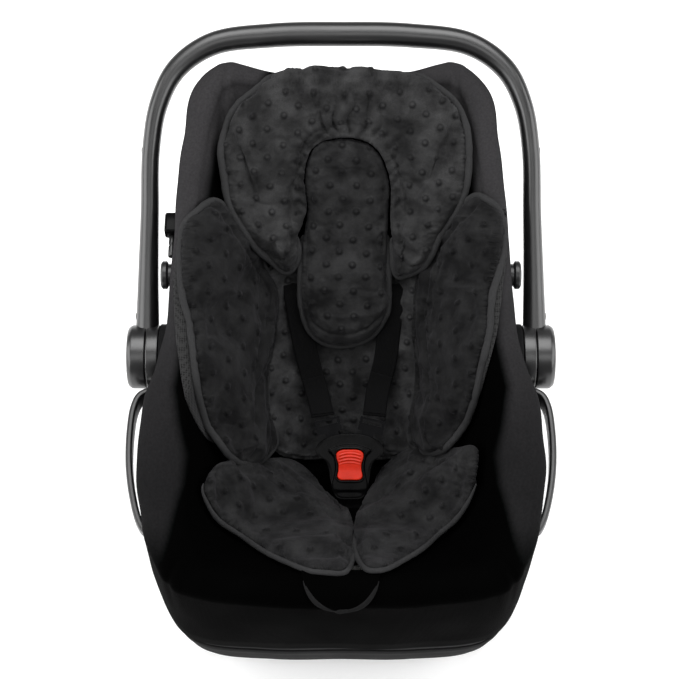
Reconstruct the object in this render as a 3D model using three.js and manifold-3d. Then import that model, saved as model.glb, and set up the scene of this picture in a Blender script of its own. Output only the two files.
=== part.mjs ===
// Infant car seat with a swinging carry handle, a three-point harness and a quilted newborn insert.
// Millimetres, +Z up, +Y towards the head end. The origin lies on the floor under the handle's pivot axis.
import * as THREE from "three";
import { mergeVertices } from "three/addons/utils/BufferGeometryUtils.js";
import Module from "manifold-3d";

const wasm = await Module();
wasm.setup();

// ---- Driving dimensions ----
const GAP = 0.3; // air between two pieces that touch
const PIVOT_Z = 255; // height of the handle's pivot axis
const SEAT_TILT = 30; // the seat's mouth leans back by this many degrees

const HUB = { inner: 187.5, outer: 220, split: 200.8, r: 33, wall: 3 };
const HANDLE = { lean: 30, halfDepth: 14.5, wall: 3 };
const BUTTON = { r: 16.5, proud: 1, stemR: 7, capDepth: 6, edge: 1.5 };
const PIN = { r: 6, head: 10, from: 159, headFrom: HUB.inner + 4.5, headTo: HUB.inner + 7 };
const BOSS = { from: 158, to: HUB.inner - 0.6 };

// Half the rim from the head's centre round to the foot's centre: x, y, height above the pivot,
// width of the rolled edge, and how full the outer wall is below it (2 is an ellipse).
const RIM = [
  [0, 254, 138, 20, 1.7],
  [70, 257.5, 145, 22, 1.7],
  [120, 262.5, 152, 28, 1.7],
  [151, 240, 145, 30, 1.7],
  [163, 180, 127, 25, 1.8],
  [170, 108, 97, 22, 1.9],
  [175, 30, 64, 26, 2.1],
  [180, -7, 48, 34, 2.2],
  [188, -37, 38, 42, 2.3],
  [198, -65, 31, 46, 2.4],
  [203, -122, 20, 50, 2.6],
  [199, -171, 14, 48, 2.8],
  [187, -221, 10, 44, 3.3],
  [159, -263, 10, 40, 3.5],
  [80, -281, 13, 36, 3.1],
  [0, -284, 14, 36, 2.9],
];
const ROLL_RISE = 0.34; // height of the rolled edge over its width
const BASE = { halfWidth: 134, halfLength: 128, y: -44, power: 3.4 };
const HEM = { side: 6, foot: 17 }; // where the cover ends on the outer wall, degrees of its quarter ellipse
const SEAM = 5; // the upper shell shows below the hem for this many degrees more
const WALL_SHARES = [0, 0.33, 0.62, 1]; // rows of the lower shell between that seam and the base
const ROLL_ANGLES = [0, 60, 120, 180];
const BED_RINGS = [0.88, 0.7, 0.5, 0.27, 0];
const BED_CENTRE_Y = -20;
const BED_POWER = 2.3; // how late the sides of the bed rise

// The bed's centre line, from the front lip to the crease and up the backrest: y, height above the pivot.
const SPINE = [
  [-262, 8], [-230, -24], [-190, -62], [-140, -102], [-90, -133], [-45, -146],
  [-8, -131], [35, -88], [95, -24], [155, 41], [205, 97], [240, 136], [262, 160],
];

const COVER_T = 3;
const FOAM_T = 14;
const SHELL_T = 3;
const LAYER_GAP = 0.6;

// ---- Materials ----
function material(color, roughness, metalness = 0) {
  return new THREE.MeshStandardMaterial({ color, roughness, metalness });
}
const FABRIC = material(0x1d1b1f, 0.95);
const PLUSH = material(0x101010, 1);
const PLASTIC = material(0x131313, 0.45);
const SHELL = material(0x0e0e0f, 0.6);
const FOAM = material(0xe8e8e4, 0.9);
const WEBBING = material(0x0c0c0d, 0.8);
const STEEL = material(0x8d9094, 0.35, 1);
const RED = material(0xd8301a, 0.4);

// ---- Solids and booleans ----
const rad = THREE.MathUtils.degToRad;
const v3 = (x, y, z) => new THREE.Vector3(x, y, z);

function solidOf(geometry) {
  const g = geometry.index ? geometry.toNonIndexed() : geometry.clone();
  g.deleteAttribute("normal");
  g.deleteAttribute("uv");
  const merged = mergeVertices(g, 1e-4);
  const position = merged.attributes.position.array;
  const index = merged.index.array;
  const kept = [];
  for (let i = 0; i < index.length; i += 3) {
    const [a, b, c] = index.subarray(i, i + 3);
    if (a !== b && b !== c && c !== a) kept.push(a, b, c);
  }
  const make = (tris) => {
    const mesh = new wasm.Mesh({ numProp: 3, vertProperties: position, triVerts: new Uint32Array(tris) });
    return new wasm.Manifold(mesh);
  };
  const made = make(kept);
  if (made.volume() > 0) return made;
  for (let i = 0; i < kept.length; i += 3) [kept[i], kept[i + 1]] = [kept[i + 1], kept[i]];
  return make(kept);
}

function geometryOf(solid) {
  const m = solid.getMesh();
  const position = new Float32Array(m.numVert * 3);
  for (let i = 0; i < m.numVert; i++) {
    position.set(m.vertProperties.subarray(i * m.numProp, i * m.numProp + 3), i * 3);
  }
  const g = new THREE.BufferGeometry();
  g.setAttribute("position", new THREE.BufferAttribute(position, 3));
  g.setIndex(new THREE.BufferAttribute(new Uint32Array(m.triVerts), 1));
  g.computeVertexNormals();
  return g;
}

const moved = (geometry, x, y, z) => geometry.translate(x, y, z);
const box = (w, d, h, x = 0, y = 0, z = 0) => solidOf(moved(new THREE.BoxGeometry(w, d, h), x, y, z));

// A cylinder along X between two places on it.
function disc(r, from, to, sides = 24) {
  const upright = new THREE.CylinderGeometry(r, r, to - from, sides);
  return solidOf(moved(upright, 0, (from + to) / 2, 0).rotateZ(-Math.PI / 2));
}

const carSeat = new THREE.Group();
const seatFrame = new THREE.Group(); // X across, Y up the seat, Z out of its mouth, at the pivot axis
seatFrame.position.z = PIVOT_Z;
seatFrame.rotation.x = rad(SEAT_TILT);
const handleFrame = new THREE.Group(); // Y runs from the pivot to the grip
handleFrame.position.z = PIVOT_Z;
handleFrame.rotation.x = rad(HANDLE.lean);
carSeat.add(seatFrame, handleFrame);

function piece(name, shape, look, parent = carSeat) {
  const geometry = shape.isBufferGeometry ? shape : geometryOf(shape);
  const mesh = new THREE.Mesh(geometry, look);
  mesh.name = name;
  parent.add(mesh);
  return mesh;
}

// A closed solid between two grids of points. Each grid is a list of rows, joined in a ring or left open.
function gridSolid(upper, lower, ring) {
  const rows = upper.length;
  const columns = upper[0].length;
  const position = [];
  const quad = (a, b, c, d) => {
    for (const p of [a, b, c, a, c, d]) position.push(p.x, p.y, p.z);
  };
  const last = ring ? columns : columns - 1;
  for (let j = 0; j < last; j++) {
    const k = (j + 1) % columns;
    for (let i = 0; i + 1 < rows; i++) {
      quad(upper[i][j], upper[i + 1][j], upper[i + 1][k], upper[i][k]);
      quad(lower[i][j], lower[i][k], lower[i + 1][k], lower[i + 1][j]);
    }
    quad(upper[0][k], lower[0][k], lower[0][j], upper[0][j]);
    quad(upper[rows - 1][j], lower[rows - 1][j], lower[rows - 1][k], upper[rows - 1][k]);
  }
  if (!ring) {
    for (let i = 0; i + 1 < rows; i++) {
      const end = columns - 1;
      quad(upper[i][0], lower[i][0], lower[i + 1][0], upper[i + 1][0]);
      quad(upper[i + 1][end], lower[i + 1][end], lower[i][end], upper[i][end]);
    }
  }
  const g = new THREE.BufferGeometry();
  g.setAttribute("position", new THREE.Float32BufferAttribute(position, 3));
  return solidOf(g);
}

// ---- The bowl: one family of meridians from the hem over the rolled edge and down the bed ----
const rimLoop = [...RIM, ...RIM.slice(1, -1).reverse().map(([x, ...rest]) => [-x, ...rest])];
const curve = (points, closed, type) => new THREE.CatmullRomCurve3(points, closed, type);
const rimPlaces = rimLoop.map(([x, y, z]) => v3(x, y, z + PIVOT_Z));
const rimCurve = curve(rimPlaces, true, "centripetal");
const rimShape = curve(rimLoop.map(([, , , roll, full]) => v3(roll, full, 0)), true, "catmullrom");

function rimAt(t) {
  const p = rimCurve.getPoint(t);
  const tangent = rimCurve.getTangent(t);
  const inward = v3(tangent.y, -tangent.x, 0).normalize();
  if (inward.x * p.x + inward.y * p.y > 0) inward.negate();
  const { x: roll, y: full } = rimShape.getPoint(t);
  return { p, inward, roll, full };
}

const RIM_STEP_MM = 56;
const rimStations = rimLoop.flatMap((_, i) => {
  const n = rimLoop.length;
  const length = rimCurve.getPoint(i / n).distanceTo(rimCurve.getPoint((i + 1) / n));
  return length > RIM_STEP_MM ? [rimAt(i / n), rimAt((i + 0.5) / n)] : [rimAt(i / n)];
});

function spineHeight(y) {
  const last = SPINE.length - 1;
  const i = Math.max(0, SPINE.findIndex(([end], k) => k === last || y < SPINE[k + 1][0]));
  const k = Math.min(i, last - 1);
  const [y0, z0] = SPINE[k];
  const [y1, z1] = SPINE[k + 1];
  const slope = (a, b) => (SPINE[b][1] - SPINE[a][1]) / (SPINE[b][0] - SPINE[a][0]);
  const m0 = slope(Math.max(0, k - 1), k + 1);
  const m1 = slope(k, Math.min(last, k + 2));
  const h = y1 - y0;
  const s = (y - y0) / h;
  const s2 = s * s;
  const s3 = s2 * s;
  const ends = (2 * s3 - 3 * s2 + 1) * z0 + (3 * s2 - 2 * s3) * z1;
  const slopes = (s3 - 2 * s2 + s) * h * m0 + (s3 - s2) * h * m1;
  return ends + slopes + PIVOT_Z;
}

// A point of the outer wall: 0 degrees is the rim, 90 degrees is the edge of the flat base.
function wallPoint({ p, full }, degrees) {
  const angle = Math.atan2(p.y + 10, p.x);
  const reach =
    (Math.abs(Math.cos(angle) / BASE.halfWidth) ** BASE.power +
      Math.abs(Math.sin(angle) / BASE.halfLength) ** BASE.power) ** (-1 / BASE.power);
  const foot = v3(reach * Math.cos(angle), BASE.y + reach * Math.sin(angle), 0);
  const f = degrees >= 90 ? 0 : Math.cos(rad(degrees)) ** (2 / full);
  const g = Math.sin(rad(degrees)) ** (2 / full);
  return v3(foot.x + (p.x - foot.x) * f, foot.y + (p.y - foot.y) * f, p.z * (1 - g));
}

function rollPoint({ p, inward, roll }, degrees) {
  const across = (roll * (1 - Math.cos(rad(degrees)))) / 2;
  const rise = roll * ROLL_RISE * Math.sin(rad(degrees));
  return p.clone().addScaledVector(inward, across).add(v3(0, 0, rise));
}

function bedPointOn(mouth, t) {
  const lift = mouth.z - spineHeight(mouth.y);
  const y = BED_CENTRE_Y + (mouth.y - BED_CENTRE_Y) * t;
  return v3(mouth.x * t, y, spineHeight(y) + lift * t ** BED_POWER);
}

// The hem runs level along the sides and dips round the foot end.
function hemAngle({ p }) {
  const toFoot = THREE.MathUtils.smoothstep(-p.y, 120, 260);
  return HEM.side + (HEM.foot - HEM.side) * toFoot;
}

const bowlRows = [
  rimStations.map((s) => wallPoint(s, hemAngle(s))),
  ...ROLL_ANGLES.map((a) => rimStations.map((s) => rollPoint(s, a))),
  ...BED_RINGS.map((t) => rimStations.map((s) => bedPointOn(rollPoint(s, 180), t))),
];
const MOUTH_ROW = ROLL_ANGLES.length;

function rowNormals(rows) {
  const columns = rows[0].length;
  return rows.map((row, i) =>
    row.map((p, j) => {
      const along = v3(0, 0, 0).subVectors(row[(j + 1) % columns], row[(j + columns - 1) % columns]);
      const below = rows[Math.min(i + 1, rows.length - 1)][j];
      const above = rows[Math.max(i - 1, 0)][j];
      if (along.length() < 1e-6) return v3(0, 0, 1);
      return along.cross(v3(0, 0, 0).subVectors(below, above)).normalize();
    }),
  );
}

const flipped = (normals) => normals.map((row) => row.map((n) => (n.z === 1 ? n : n.clone().negate())));

// The rows pushed into the material by depth(i), a distance along each point's normal.
function sunk(rows, normals, depth) {
  return rows.map((row, i) => row.map((p, j) => p.clone().addScaledVector(normals[i][j], -depth(i))));
}

const rawNormals = rowNormals(bowlRows);
const bowlNormals = rawNormals[MOUTH_ROW - 2][0].z < 0 ? flipped(rawNormals) : rawNormals;

// A layer of the bowl between two depths, from a row inwards.
function layer(top, bottom, from = 0) {
  const upper = sunk(bowlRows, bowlNormals, top);
  const lower = sunk(bowlRows, bowlNormals, bottom);
  return gridSolid(upper.slice(from), lower.slice(from), true);
}

// The height and slope of the bed anywhere inside the mouth.
const mouthLoop = Array.from({ length: 240 }, (_, i) => rollPoint(rimAt(i / 240), 180))
  .map((p) => ({ p, angle: Math.atan2(p.y - BED_CENTRE_Y, p.x) }))
  .sort((a, b) => a.angle - b.angle);

function bedHeight(x, y) {
  const angle = Math.atan2(y - BED_CENTRE_Y, x);
  let k = mouthLoop.findIndex((m) => m.angle > angle);
  if (k < 0) k = 0;
  const after = mouthLoop[k];
  const before = mouthLoop[(k + mouthLoop.length - 1) % mouthLoop.length];
  const turn = (a) => (a + 4 * Math.PI) % (2 * Math.PI);
  const share = turn(angle - before.angle) / Math.max(1e-9, turn(after.angle - before.angle));
  const mouth = before.p.clone().lerp(after.p, share);
  const t = Math.hypot(x, y - BED_CENTRE_Y) / Math.hypot(mouth.x, mouth.y - BED_CENTRE_Y);
  return spineHeight(y) + (mouth.z - spineHeight(mouth.y)) * t ** BED_POWER;
}

// The bed's point under (u, v) of the seat frame, found along the frame's own Z.
function bedUnder(u, v) {
  const at = (w) => v3(u, v * Math.cos(rad(SEAT_TILT)) - w * Math.sin(rad(SEAT_TILT)),
    PIVOT_Z + v * Math.sin(rad(SEAT_TILT)) + w * Math.cos(rad(SEAT_TILT)));
  let low = -260;
  let high = 300;
  for (let n = 0; n < 40; n++) {
    const middle = (low + high) / 2;
    const p = at(middle);
    if (p.z > bedHeight(p.x, p.y)) high = middle;
    else low = middle;
  }
  return at(high);
}

function bedFrame(u, v) {
  const p = bedUnder(u, v);
  const e = 4;
  const sx = (bedHeight(p.x + e, p.y) - bedHeight(p.x - e, p.y)) / (2 * e);
  const sy = (bedHeight(p.x, p.y + e) - bedHeight(p.x, p.y - e)) / (2 * e);
  return { p, normal: v3(-sx, -sy, 1).normalize() };
}

const onBed = (u, v, height) => {
  const { p, normal } = bedFrame(u, v);
  return p.clone().addScaledVector(normal, height);
};

// ---- Shell, foam and cover ----
const hubCutter = (r, from) => disc(r, from, 260).translate([0, 0, PIVOT_Z]);
const bothSides = (solid) => solid.add(solid.mirror([1, 0, 0]));

const SLOT = { u: 50, v: 105, width: 34, height: 14, slope: 47 };
const CROTCH = { u: 8, v: -158, width: 36, height: 14, slope: -32 };
const ADJUSTER = { y: -212, width: 44, length: 30, slope: -42 };

// A square hole through every layer of the bed, along the bed's own normal there.
const bedHole = (at, { width, height, slope }) =>
  box(width, height, 90).rotate([slope, 0, 0]).translate([at.x, at.y, at.z]);
const adjusterPlace = v3(0, ADJUSTER.y, bedHeight(0, ADJUSTER.y));
const shoulderSlots = bothSides(bedHole(bedUnder(SLOT.u, SLOT.v), SLOT));
const crotchSlot = bedHole(bedUnder(CROTCH.u, CROTCH.v), CROTCH);
const adjusterHole = bedHole(adjusterPlace, { ...ADJUSTER, height: ADJUSTER.length });
const strapHoles = shoulderSlots.add(crotchSlot).add(adjusterHole);

const upperSkirt = rimStations.map((s) => wallPoint(s, hemAngle(s) + SEAM));

function upperShell() {
  const rows = [upperSkirt, ...bowlRows];
  const normals = [bowlNormals[0], ...bowlNormals];
  const inBed = (i) => i > MOUTH_ROW + 1;
  const top = (i) => COVER_T + LAYER_GAP + (inBed(i) ? FOAM_T + LAYER_GAP : 0);
  const bowl = gridSolid(sunk(rows, normals, top), sunk(rows, normals, (i) => top(i) + SHELL_T), true);
  const boss = disc(HUB.r + 1, BOSS.from, BOSS.to).translate([0, 0, PIVOT_Z]);
  const bore = disc(PIN.r + GAP, 140, 260, 16).translate([0, 0, PIVOT_Z]);
  return bowl.subtract(strapHoles).add(bothSides(boss)).subtract(bothSides(bore));
}

function lowerShell() {
  const seam = (s) => hemAngle(s) + SEAM + 0.5;
  const rows = WALL_SHARES.map((f) => rimStations.map((s) => wallPoint(s, seam(s) + (90 - seam(s)) * f)));
  rows.push(rimStations.map(() => v3(0, BASE.y, 0)));
  const normals = rowNormals(rows);
  const outward = normals[1][0].y > 0 ? 1 : -1;
  normals.forEach((row) => row.forEach((n) => n.multiplyScalar(outward)));
  normals[rows.length - 1].forEach((n) => n.set(0, 0, -1));
  const inset = (i) => (COVER_T + LAYER_GAP) * Math.max(0, 1 - WALL_SHARES[i]);
  const outer = sunk(rows, normals, (i) => (i < WALL_SHARES.length ? inset(i) : 0));
  outer.slice(-2).forEach((row) => row.forEach((p) => (p.z = 0)));
  const inner = sunk(rows, normals, (i) => (i < WALL_SHARES.length ? inset(i) : 0) + SHELL_T);
  inner.slice(-2).forEach((row) => row.forEach((p) => (p.z = SHELL_T)));
  const tub = gridSolid(outer, inner, true);
  return tub.subtract(bothSides(hubCutter(HUB.r + 2, 130)));
}

piece("lower_shell", lowerShell(), SHELL);
piece("upper_shell", upperShell(), SHELL);
piece(
  "foam_liner",
  layer(() => COVER_T + LAYER_GAP, () => COVER_T + LAYER_GAP + FOAM_T, MOUTH_ROW + 1).subtract(strapHoles),
  FOAM,
);
piece(
  "seat_cover",
  layer(() => 0, () => COVER_T).subtract(strapHoles).subtract(bothSides(hubCutter(HUB.r + 4, 150))),
  FABRIC,
);

// ---- Insert: soft pads laid on the bed, each a band with a centre line and a half width ----
// A station is u, v and half width in the seat frame; the ends taper to a round tip.
const INSERT_X = 3; // the insert lies this far off the shell's centre
const LEG_GAP_X = 5; // and its leg pads part this far off it
const mirrored = (stations, middle = 0) => stations.map(([u, v, w, lift]) => [2 * middle - u, v, w, lift]);

function bandPad(stations, { clear, crown, steps, across = 4 }) {
  const line = curve(stations.map(([u, v]) => v3(u, v, 0)), false, "centripetal");
  const width = curve(stations.map(([, , w, lift = 0]) => v3(w, lift, 0)), false, "catmullrom");
  const upper = [];
  const lower = [];
  for (let i = 0; i <= steps; i++) {
    const s = (1 - Math.cos((Math.PI * i) / steps)) / 2;
    const c = line.getPoint(s);
    const tangent = line.getTangent(s);
    const { x: w, y: lift } = width.getPoint(s);
    const top = [];
    const bottom = [];
    for (let j = -across; j <= across; j++) {
      const side = Math.sin((Math.PI / 2) * (j / across));
      const u = c.x - tangent.y * w * side;
      const v = c.y + tangent.x * w * side;
      const end = Math.min(1, 3.2 * Math.min(s, 1 - s) + 0.02);
      const rise = crown * Math.sqrt(Math.max(0, 1 - side ** 2)) * Math.sqrt(end) + 1.5;
      top.push(onBed(u, v, clear + lift + rise));
      bottom.push(onBed(u, v, clear + lift));
    }
    upper.push(top);
    lower.push(bottom);
  }
  return gridSolid(upper, lower, false);
}

const HEAD_SUPPORT = [
  [-56, 92, 14, 8], [-73, 112, 29, 8], [-81, 142, 42, 3], [-84, 176, 47],
  [-80, 212, 49], [-61, 241, 45], [-30, 258, 36], [3, 261, 32],
];
const headSupport = [...HEAD_SUPPORT, ...mirrored(HEAD_SUPPORT.slice(0, -1), INSERT_X).reverse()];
const HEAD_PAD = [
  [3, 228, 22], [3, 205, 36], [3, 160, 38], [3, 110, 40, 3], [3, 62, 46, 5], [3, 30, 44, 4], [3, 10, 24, 3],
];
const WING = [
  [-133, 92, 12], [-123, 70, 24], [-111, 40, 35], [-108, 5, 35],
  [-106, -45, 32], [-102, -80, 26], [-97, -102, 13],
];
const BACK_PAD = [[3, 78, 40], [3, 50, 56], [3, 5, 66], [3, -45, 64, 3], [3, -76, 58, 5], [3, -98, 40, 6]];
const LEG_PAD = [
  [-134, -126, 12], [-116, -139, 23], [-80, -157, 35], [-46, -171, 33], [-22, -183, 24], [-9, -190, 11],
];

const insert = {
  insert_head_support: [headSupport, { clear: 4, crown: 24, steps: 20, across: 3 }],
  insert_head_pad: [HEAD_PAD, { clear: 18, crown: 16, steps: 8, across: 3 }],
  insert_back_pad: [BACK_PAD, { clear: 5, crown: 4, steps: 8, across: 3 }],
  insert_wing_left: [WING, { clear: 4, crown: 20, steps: 9, across: 3 }],
  insert_wing_right: [mirrored(WING), { clear: 4, crown: 20, steps: 9, across: 3 }],
  insert_leg_pad_left: [LEG_PAD, { clear: 4, crown: 18, steps: 8, across: 3 }],
  insert_leg_pad_right: [mirrored(LEG_PAD, LEG_GAP_X), { clear: 4, crown: 18, steps: 8, across: 3 }],
};
for (const [name, [stations, shape]] of Object.entries(insert)) {
  piece(name, bandPad(stations, shape), PLUSH);
}

// ---- Harness ----
const WEB = { width: 25, thickness: 1.6 };
const seatPoint = (u, v, w) => v3(u, v, w).applyEuler(seatFrame.rotation).add(seatFrame.position);

// Flat webbing through a list of points, its width lying across the seat.
function webbing(points, steps, width = WEB.width) {
  const line = curve(points, false, "centripetal");
  const faces = [[], []];
  for (let i = 0; i <= steps; i++) {
    const p = line.getPointAt(i / steps);
    const tangent = line.getTangentAt(i / steps);
    const side = v3(1, 0, 0).addScaledVector(tangent, -tangent.x).normalize().multiplyScalar(width / 2);
    const normal = tangent.clone().cross(side).normalize().multiplyScalar(WEB.thickness / 2);
    faces.forEach((face, k) => {
      const q = p.clone().addScaledVector(normal, k ? -1 : 1);
      face.push([q.clone().add(side), q.clone().sub(side)]);
    });
  }
  return gridSolid(faces[0], faces[1], false);
}

// A group whose X runs across, Y up the bed and Z out of it, at a point of the bed.
function bedGroup(at, slope, height) {
  const g = new THREE.Group();
  g.rotation.x = rad(slope);
  g.position.copy(at).add(v3(0, 0, height).applyEuler(g.rotation));
  carSeat.add(g);
  g.updateMatrixWorld(true);
  return g;
}

const SPLITTER = { v: 2, length: 34, height: -40, slope: 47 };
const splitterFrame = bedGroup(bedUnder(0, SPLITTER.v), SPLITTER.slope, SPLITTER.height);

const BUCKLE = { u: 9.5, v: -119, w: -42, half: 8, lean: 14 };
const TONGUE = { out: 27, v: -80.5, width: 27, thickness: 1.6 };

// From the splitter plate up the back of the shell, through its slot and down to the tongue: u, v, height.
// In front of the slot both straps drift over towards the buckle, which hangs off the shell's centre.
const SHOULDER_ROUTE = [
  [30, 62, -41], [46, 94, -39], [50, 104, -27], [50, 106, -8], [50, 103, 3], [50, 94, 5.5],
  [56, 72, 14], [51, 35, 15.5], [46, 0, 19], [38, -30, 31],
];

const IN_FRONT = 6; // a strap's height once it is out of its slot

function shoulderStrap(side) {
  const end = seatPoint(BUCKLE.u + side * (TONGUE.out + 1.5), TONGUE.v + 17.5, BUCKLE.w + 0.2);
  const start = splitterFrame.localToWorld(v3(side * 15, SPLITTER.length / 2 + 5, 0));
  const middle = (v) => BUCKLE.u * (0.63 + 0.37 * THREE.MathUtils.smoothstep(-v, 0, -TONGUE.v));
  const route = SHOULDER_ROUTE.map(([u, v, h]) => onBed(side * u + (h > IN_FRONT ? middle(v) : 0), v, h));
  return webbing([start, ...route, end], 24);
}

function crotchStrap() {
  const below = [-38, -20, -8].map((h) => onBed(CROTCH.u, CROTCH.v, h));
  const rise = [[-37.5, -2.5], [-32.5, -0.4], [-26.5, 0], [-20.5, 0]];
  const above = rise.map(([v, w]) => seatPoint(BUCKLE.u, BUCKLE.v + v, BUCKLE.w + w));
  return webbing([...below, ...above], 14);
}

const ADJUSTER_ROUTE = [
  [0, -40, -42], [0, -80, -46], [0, -112, -50], [0, -140, -48],
  [0, -165, -45], [0, -185, -42], [0, -198, -34],
];

function adjusterStrap() {
  const start = splitterFrame.localToWorld(v3(0, -SPLITTER.length / 2 - 2, 0));
  return webbing([start, ...ADJUSTER_ROUTE.map(([u, v, h]) => onBed(u, v, h))], 14);
}

piece("shoulder_strap_left", shoulderStrap(-1), WEBBING);
piece("shoulder_strap_right", shoulderStrap(1), WEBBING);
piece("crotch_strap", crotchStrap(), WEBBING);
piece("adjuster_strap", adjusterStrap(), WEBBING);

const plate = (w, h, t, holes) =>
  holes.reduce((made, [hw, hh, x, y]) => made.subtract(box(hw, hh, t + 4, x, y)), box(w, h, t));

piece(
  "splitter_plate",
  plate(62, SPLITTER.length, 2.5, [[27, 5, -15, 10], [27, 5, 15, 10], [27, 5, 0, -10]]),
  STEEL,
  splitterFrame,
);
const anchorFrame = bedGroup(bedUnder(CROTCH.u, CROTCH.v), CROTCH.slope, -30);
piece("crotch_anchor", plate(62, 18, 2.5, [[30, 6, 0, 0]]), STEEL, anchorFrame);

const buckleFrame = new THREE.Group();
buckleFrame.position.set(BUCKLE.u, BUCKLE.v, BUCKLE.w);
seatFrame.add(buckleFrame);

function outlineSolid(half, thickness, bevel = 0) {
  const loop = [...half, ...half.slice(1, -1).reverse().map(([x, y]) => [-x, y])];
  const points = loop.map(([x, y]) => new THREE.Vector2(x, y));
  const g = new THREE.ExtrudeGeometry(new THREE.Shape(points), {
    depth: thickness - 2 * bevel, bevelEnabled: bevel > 0, bevelSize: bevel, bevelThickness: bevel,
    bevelOffset: -bevel, bevelSegments: 1,
  });
  return solidOf(g.translate(0, 0, bevel));
}

const BUCKLE_HALF = [
  [0, 37], [16, 35.5], [30, 29], [36, 22], [35, 15], [27, 9],
  [23.5, 2], [21, -12], [18, -25], [13, -32], [0, -33.5],
];
const BUTTON_HALF = [
  [0, 20.5], [9, 20], [14, 17], [14.5, 12], [12.5, 5], [12.5, -2], [13.5, -8], [11, -11.5], [0, -12],
];

function buckleHalves() {
  const body = outlineSolid(BUCKLE_HALF, BUCKLE.half - 0.15, 1.6);
  const tongueRoom = box(58, 60, 4.4, 0, 17);
  const strapRoom = box(29, 20, 3.2, 0, -30);
  const buttonRoom = box(34, 38, 10.4, 0, 4);
  const window = outlineSolid(BUTTON_HALF, 12).translate([0, 0, 1]).scale([1.03, 1.02, 1]);
  const cavity = tongueRoom.add(strapRoom);
  return {
    front: body.translate([0, 0, 0.15]).subtract(cavity.add(buttonRoom)).subtract(window),
    back: body.scale([1, 1, -1]).translate([0, 0, -0.15]).subtract(cavity),
  };
}

function redButton() {
  const cap = outlineSolid(BUTTON_HALF, 7, 0.8).translate([0, 0, 2.4]);
  return cap.add(box(32, 36, 1.6, 0, 4, 3.4));
}

function coil(r, height, turns, wire) {
  const steps = Math.round(turns * 9);
  const points = Array.from({ length: steps + 1 }, (_, i) => {
    const a = (i / steps) * turns * 2 * Math.PI;
    return v3(r * Math.cos(a), r * Math.sin(a), wire + ((height - 2 * wire) * i) / steps);
  });
  const section = new THREE.Shape(Array.from({ length: 5 }, (_, i) => {
    const a = (i / 5) * 2 * Math.PI;
    return new THREE.Vector2(wire * Math.cos(a), wire * Math.sin(a));
  }));
  const extrudePath = new THREE.CatmullRomCurve3(points);
  return solidOf(new THREE.ExtrudeGeometry(section, { steps, bevelEnabled: false, extrudePath }));
}

const { front: buckleFront, back: buckleBack } = buckleHalves();
piece("buckle_front", buckleFront, PLASTIC, buckleFrame);
piece("buckle_back", buckleBack, PLASTIC, buckleFrame);
piece("buckle_button", redButton(), RED, buckleFrame);
piece("buckle_spring", coil(4, 4.4, 2, 0.45), STEEL, buckleFrame).position.set(0, 4, -2.1);

function tongue() {
  const tab = box(TONGUE.width, 15, TONGUE.thickness, 0, 6).subtract(box(TONGUE.width - 6, 4, 6, 0, 9));
  return tab.add(box(13, 30, TONGUE.thickness, -2, -14));
}

for (const [name, side] of [["left", -1], ["right", 1]]) {
  const shape = side > 0 ? tongue() : tongue().mirror([1, 0, 0]);
  const mesh = piece(`tongue_${name}`, shape, STEEL, buckleFrame);
  mesh.position.set(side * TONGUE.out * 0.8, TONGUE.v - BUCKLE.v + 1, -1.1);
  mesh.rotation.z = rad(-side * BUCKLE.lean);
}

// ---- Harness adjuster in the front of the pan, under a fabric flap ----
const adjusterFrame = bedGroup(adjusterPlace, ADJUSTER.slope, 0);
const LEVER_PIN = { y: 5.5, z: -3, r: 1.9 };
function adjusterHousing() {
  const { width, length } = ADJUSTER;
  const wall = box(width - 1.6, length - 1.6, 22, 0, 0, -10).subtract(box(width - 8, length - 8, 60));
  const pinHoles = disc(LEVER_PIN.r + GAP, -40, 40, 12).translate([0, LEVER_PIN.y, LEVER_PIN.z]);
  return wall.subtract(pinHoles);
}
function adjusterLever() {
  const pad = box(30, 18, 3, 0, -1, 0);
  const eye = disc(4, -15, 15, 12).translate([0, LEVER_PIN.y, LEVER_PIN.z]);
  return pad.add(eye).subtract(disc(LEVER_PIN.r + 0.4, -40, 40, 12).translate([0, LEVER_PIN.y, LEVER_PIN.z]));
}
piece("adjuster_housing", adjusterHousing(), PLASTIC, adjusterFrame);
piece("adjuster_lever", adjusterLever(), PLASTIC, adjusterFrame);
const leverPin = disc(LEVER_PIN.r, -19.5, 19.5, 12).translate([0, LEVER_PIN.y, LEVER_PIN.z]);
piece("adjuster_pin", leverPin, STEEL, adjusterFrame);

const FLAP = { halfWidth: 38, thickness: 2.5, clear: 2.2, from: 172, to: 8 };
function flap() {
  const foot = rimAt(0.5);
  const layers = [FLAP.clear + FLAP.thickness, FLAP.clear].map((height) =>
    Array.from({ length: 8 }, (_, i) => {
      const degrees = FLAP.from + ((FLAP.to - FLAP.from) * i) / 7;
      const c = rollPoint(foot, degrees);
      const normal = v3(0, -Math.cos(rad(degrees)), Math.sin(rad(degrees)) + 0.2).normalize();
      const half = FLAP.halfWidth * Math.sqrt(1 - (i / 7.3) ** 2);
      return [-1, -0.5, 0, 0.5, 1].map((f) => c.clone().addScaledVector(normal, height).setX(f * half));
    }),
  );
  return gridSolid(layers[0], layers[1], false);
}
piece("adjuster_flap", flap(), FABRIC);

// ---- Carry handle: two half shells that meet on the tube's centre line, and the hubs at its ends ----
// x, distance from the pivot, half width: widest at the hub and at the grip.
const HANDLE_LINE = [
  [201, 26, 12], [200.2, 80, 10.6], [198.7, 150, 9.4], [197.3, 215, 9.2], [189.5, 262, 9.7],
  [171, 299, 10.8], [134, 325, 11.8], [72, 334, 12.4], [0, 335.5, 12.5],
];
const HALF_SECTION = [-90, -48, 0, 48, 90];

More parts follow.
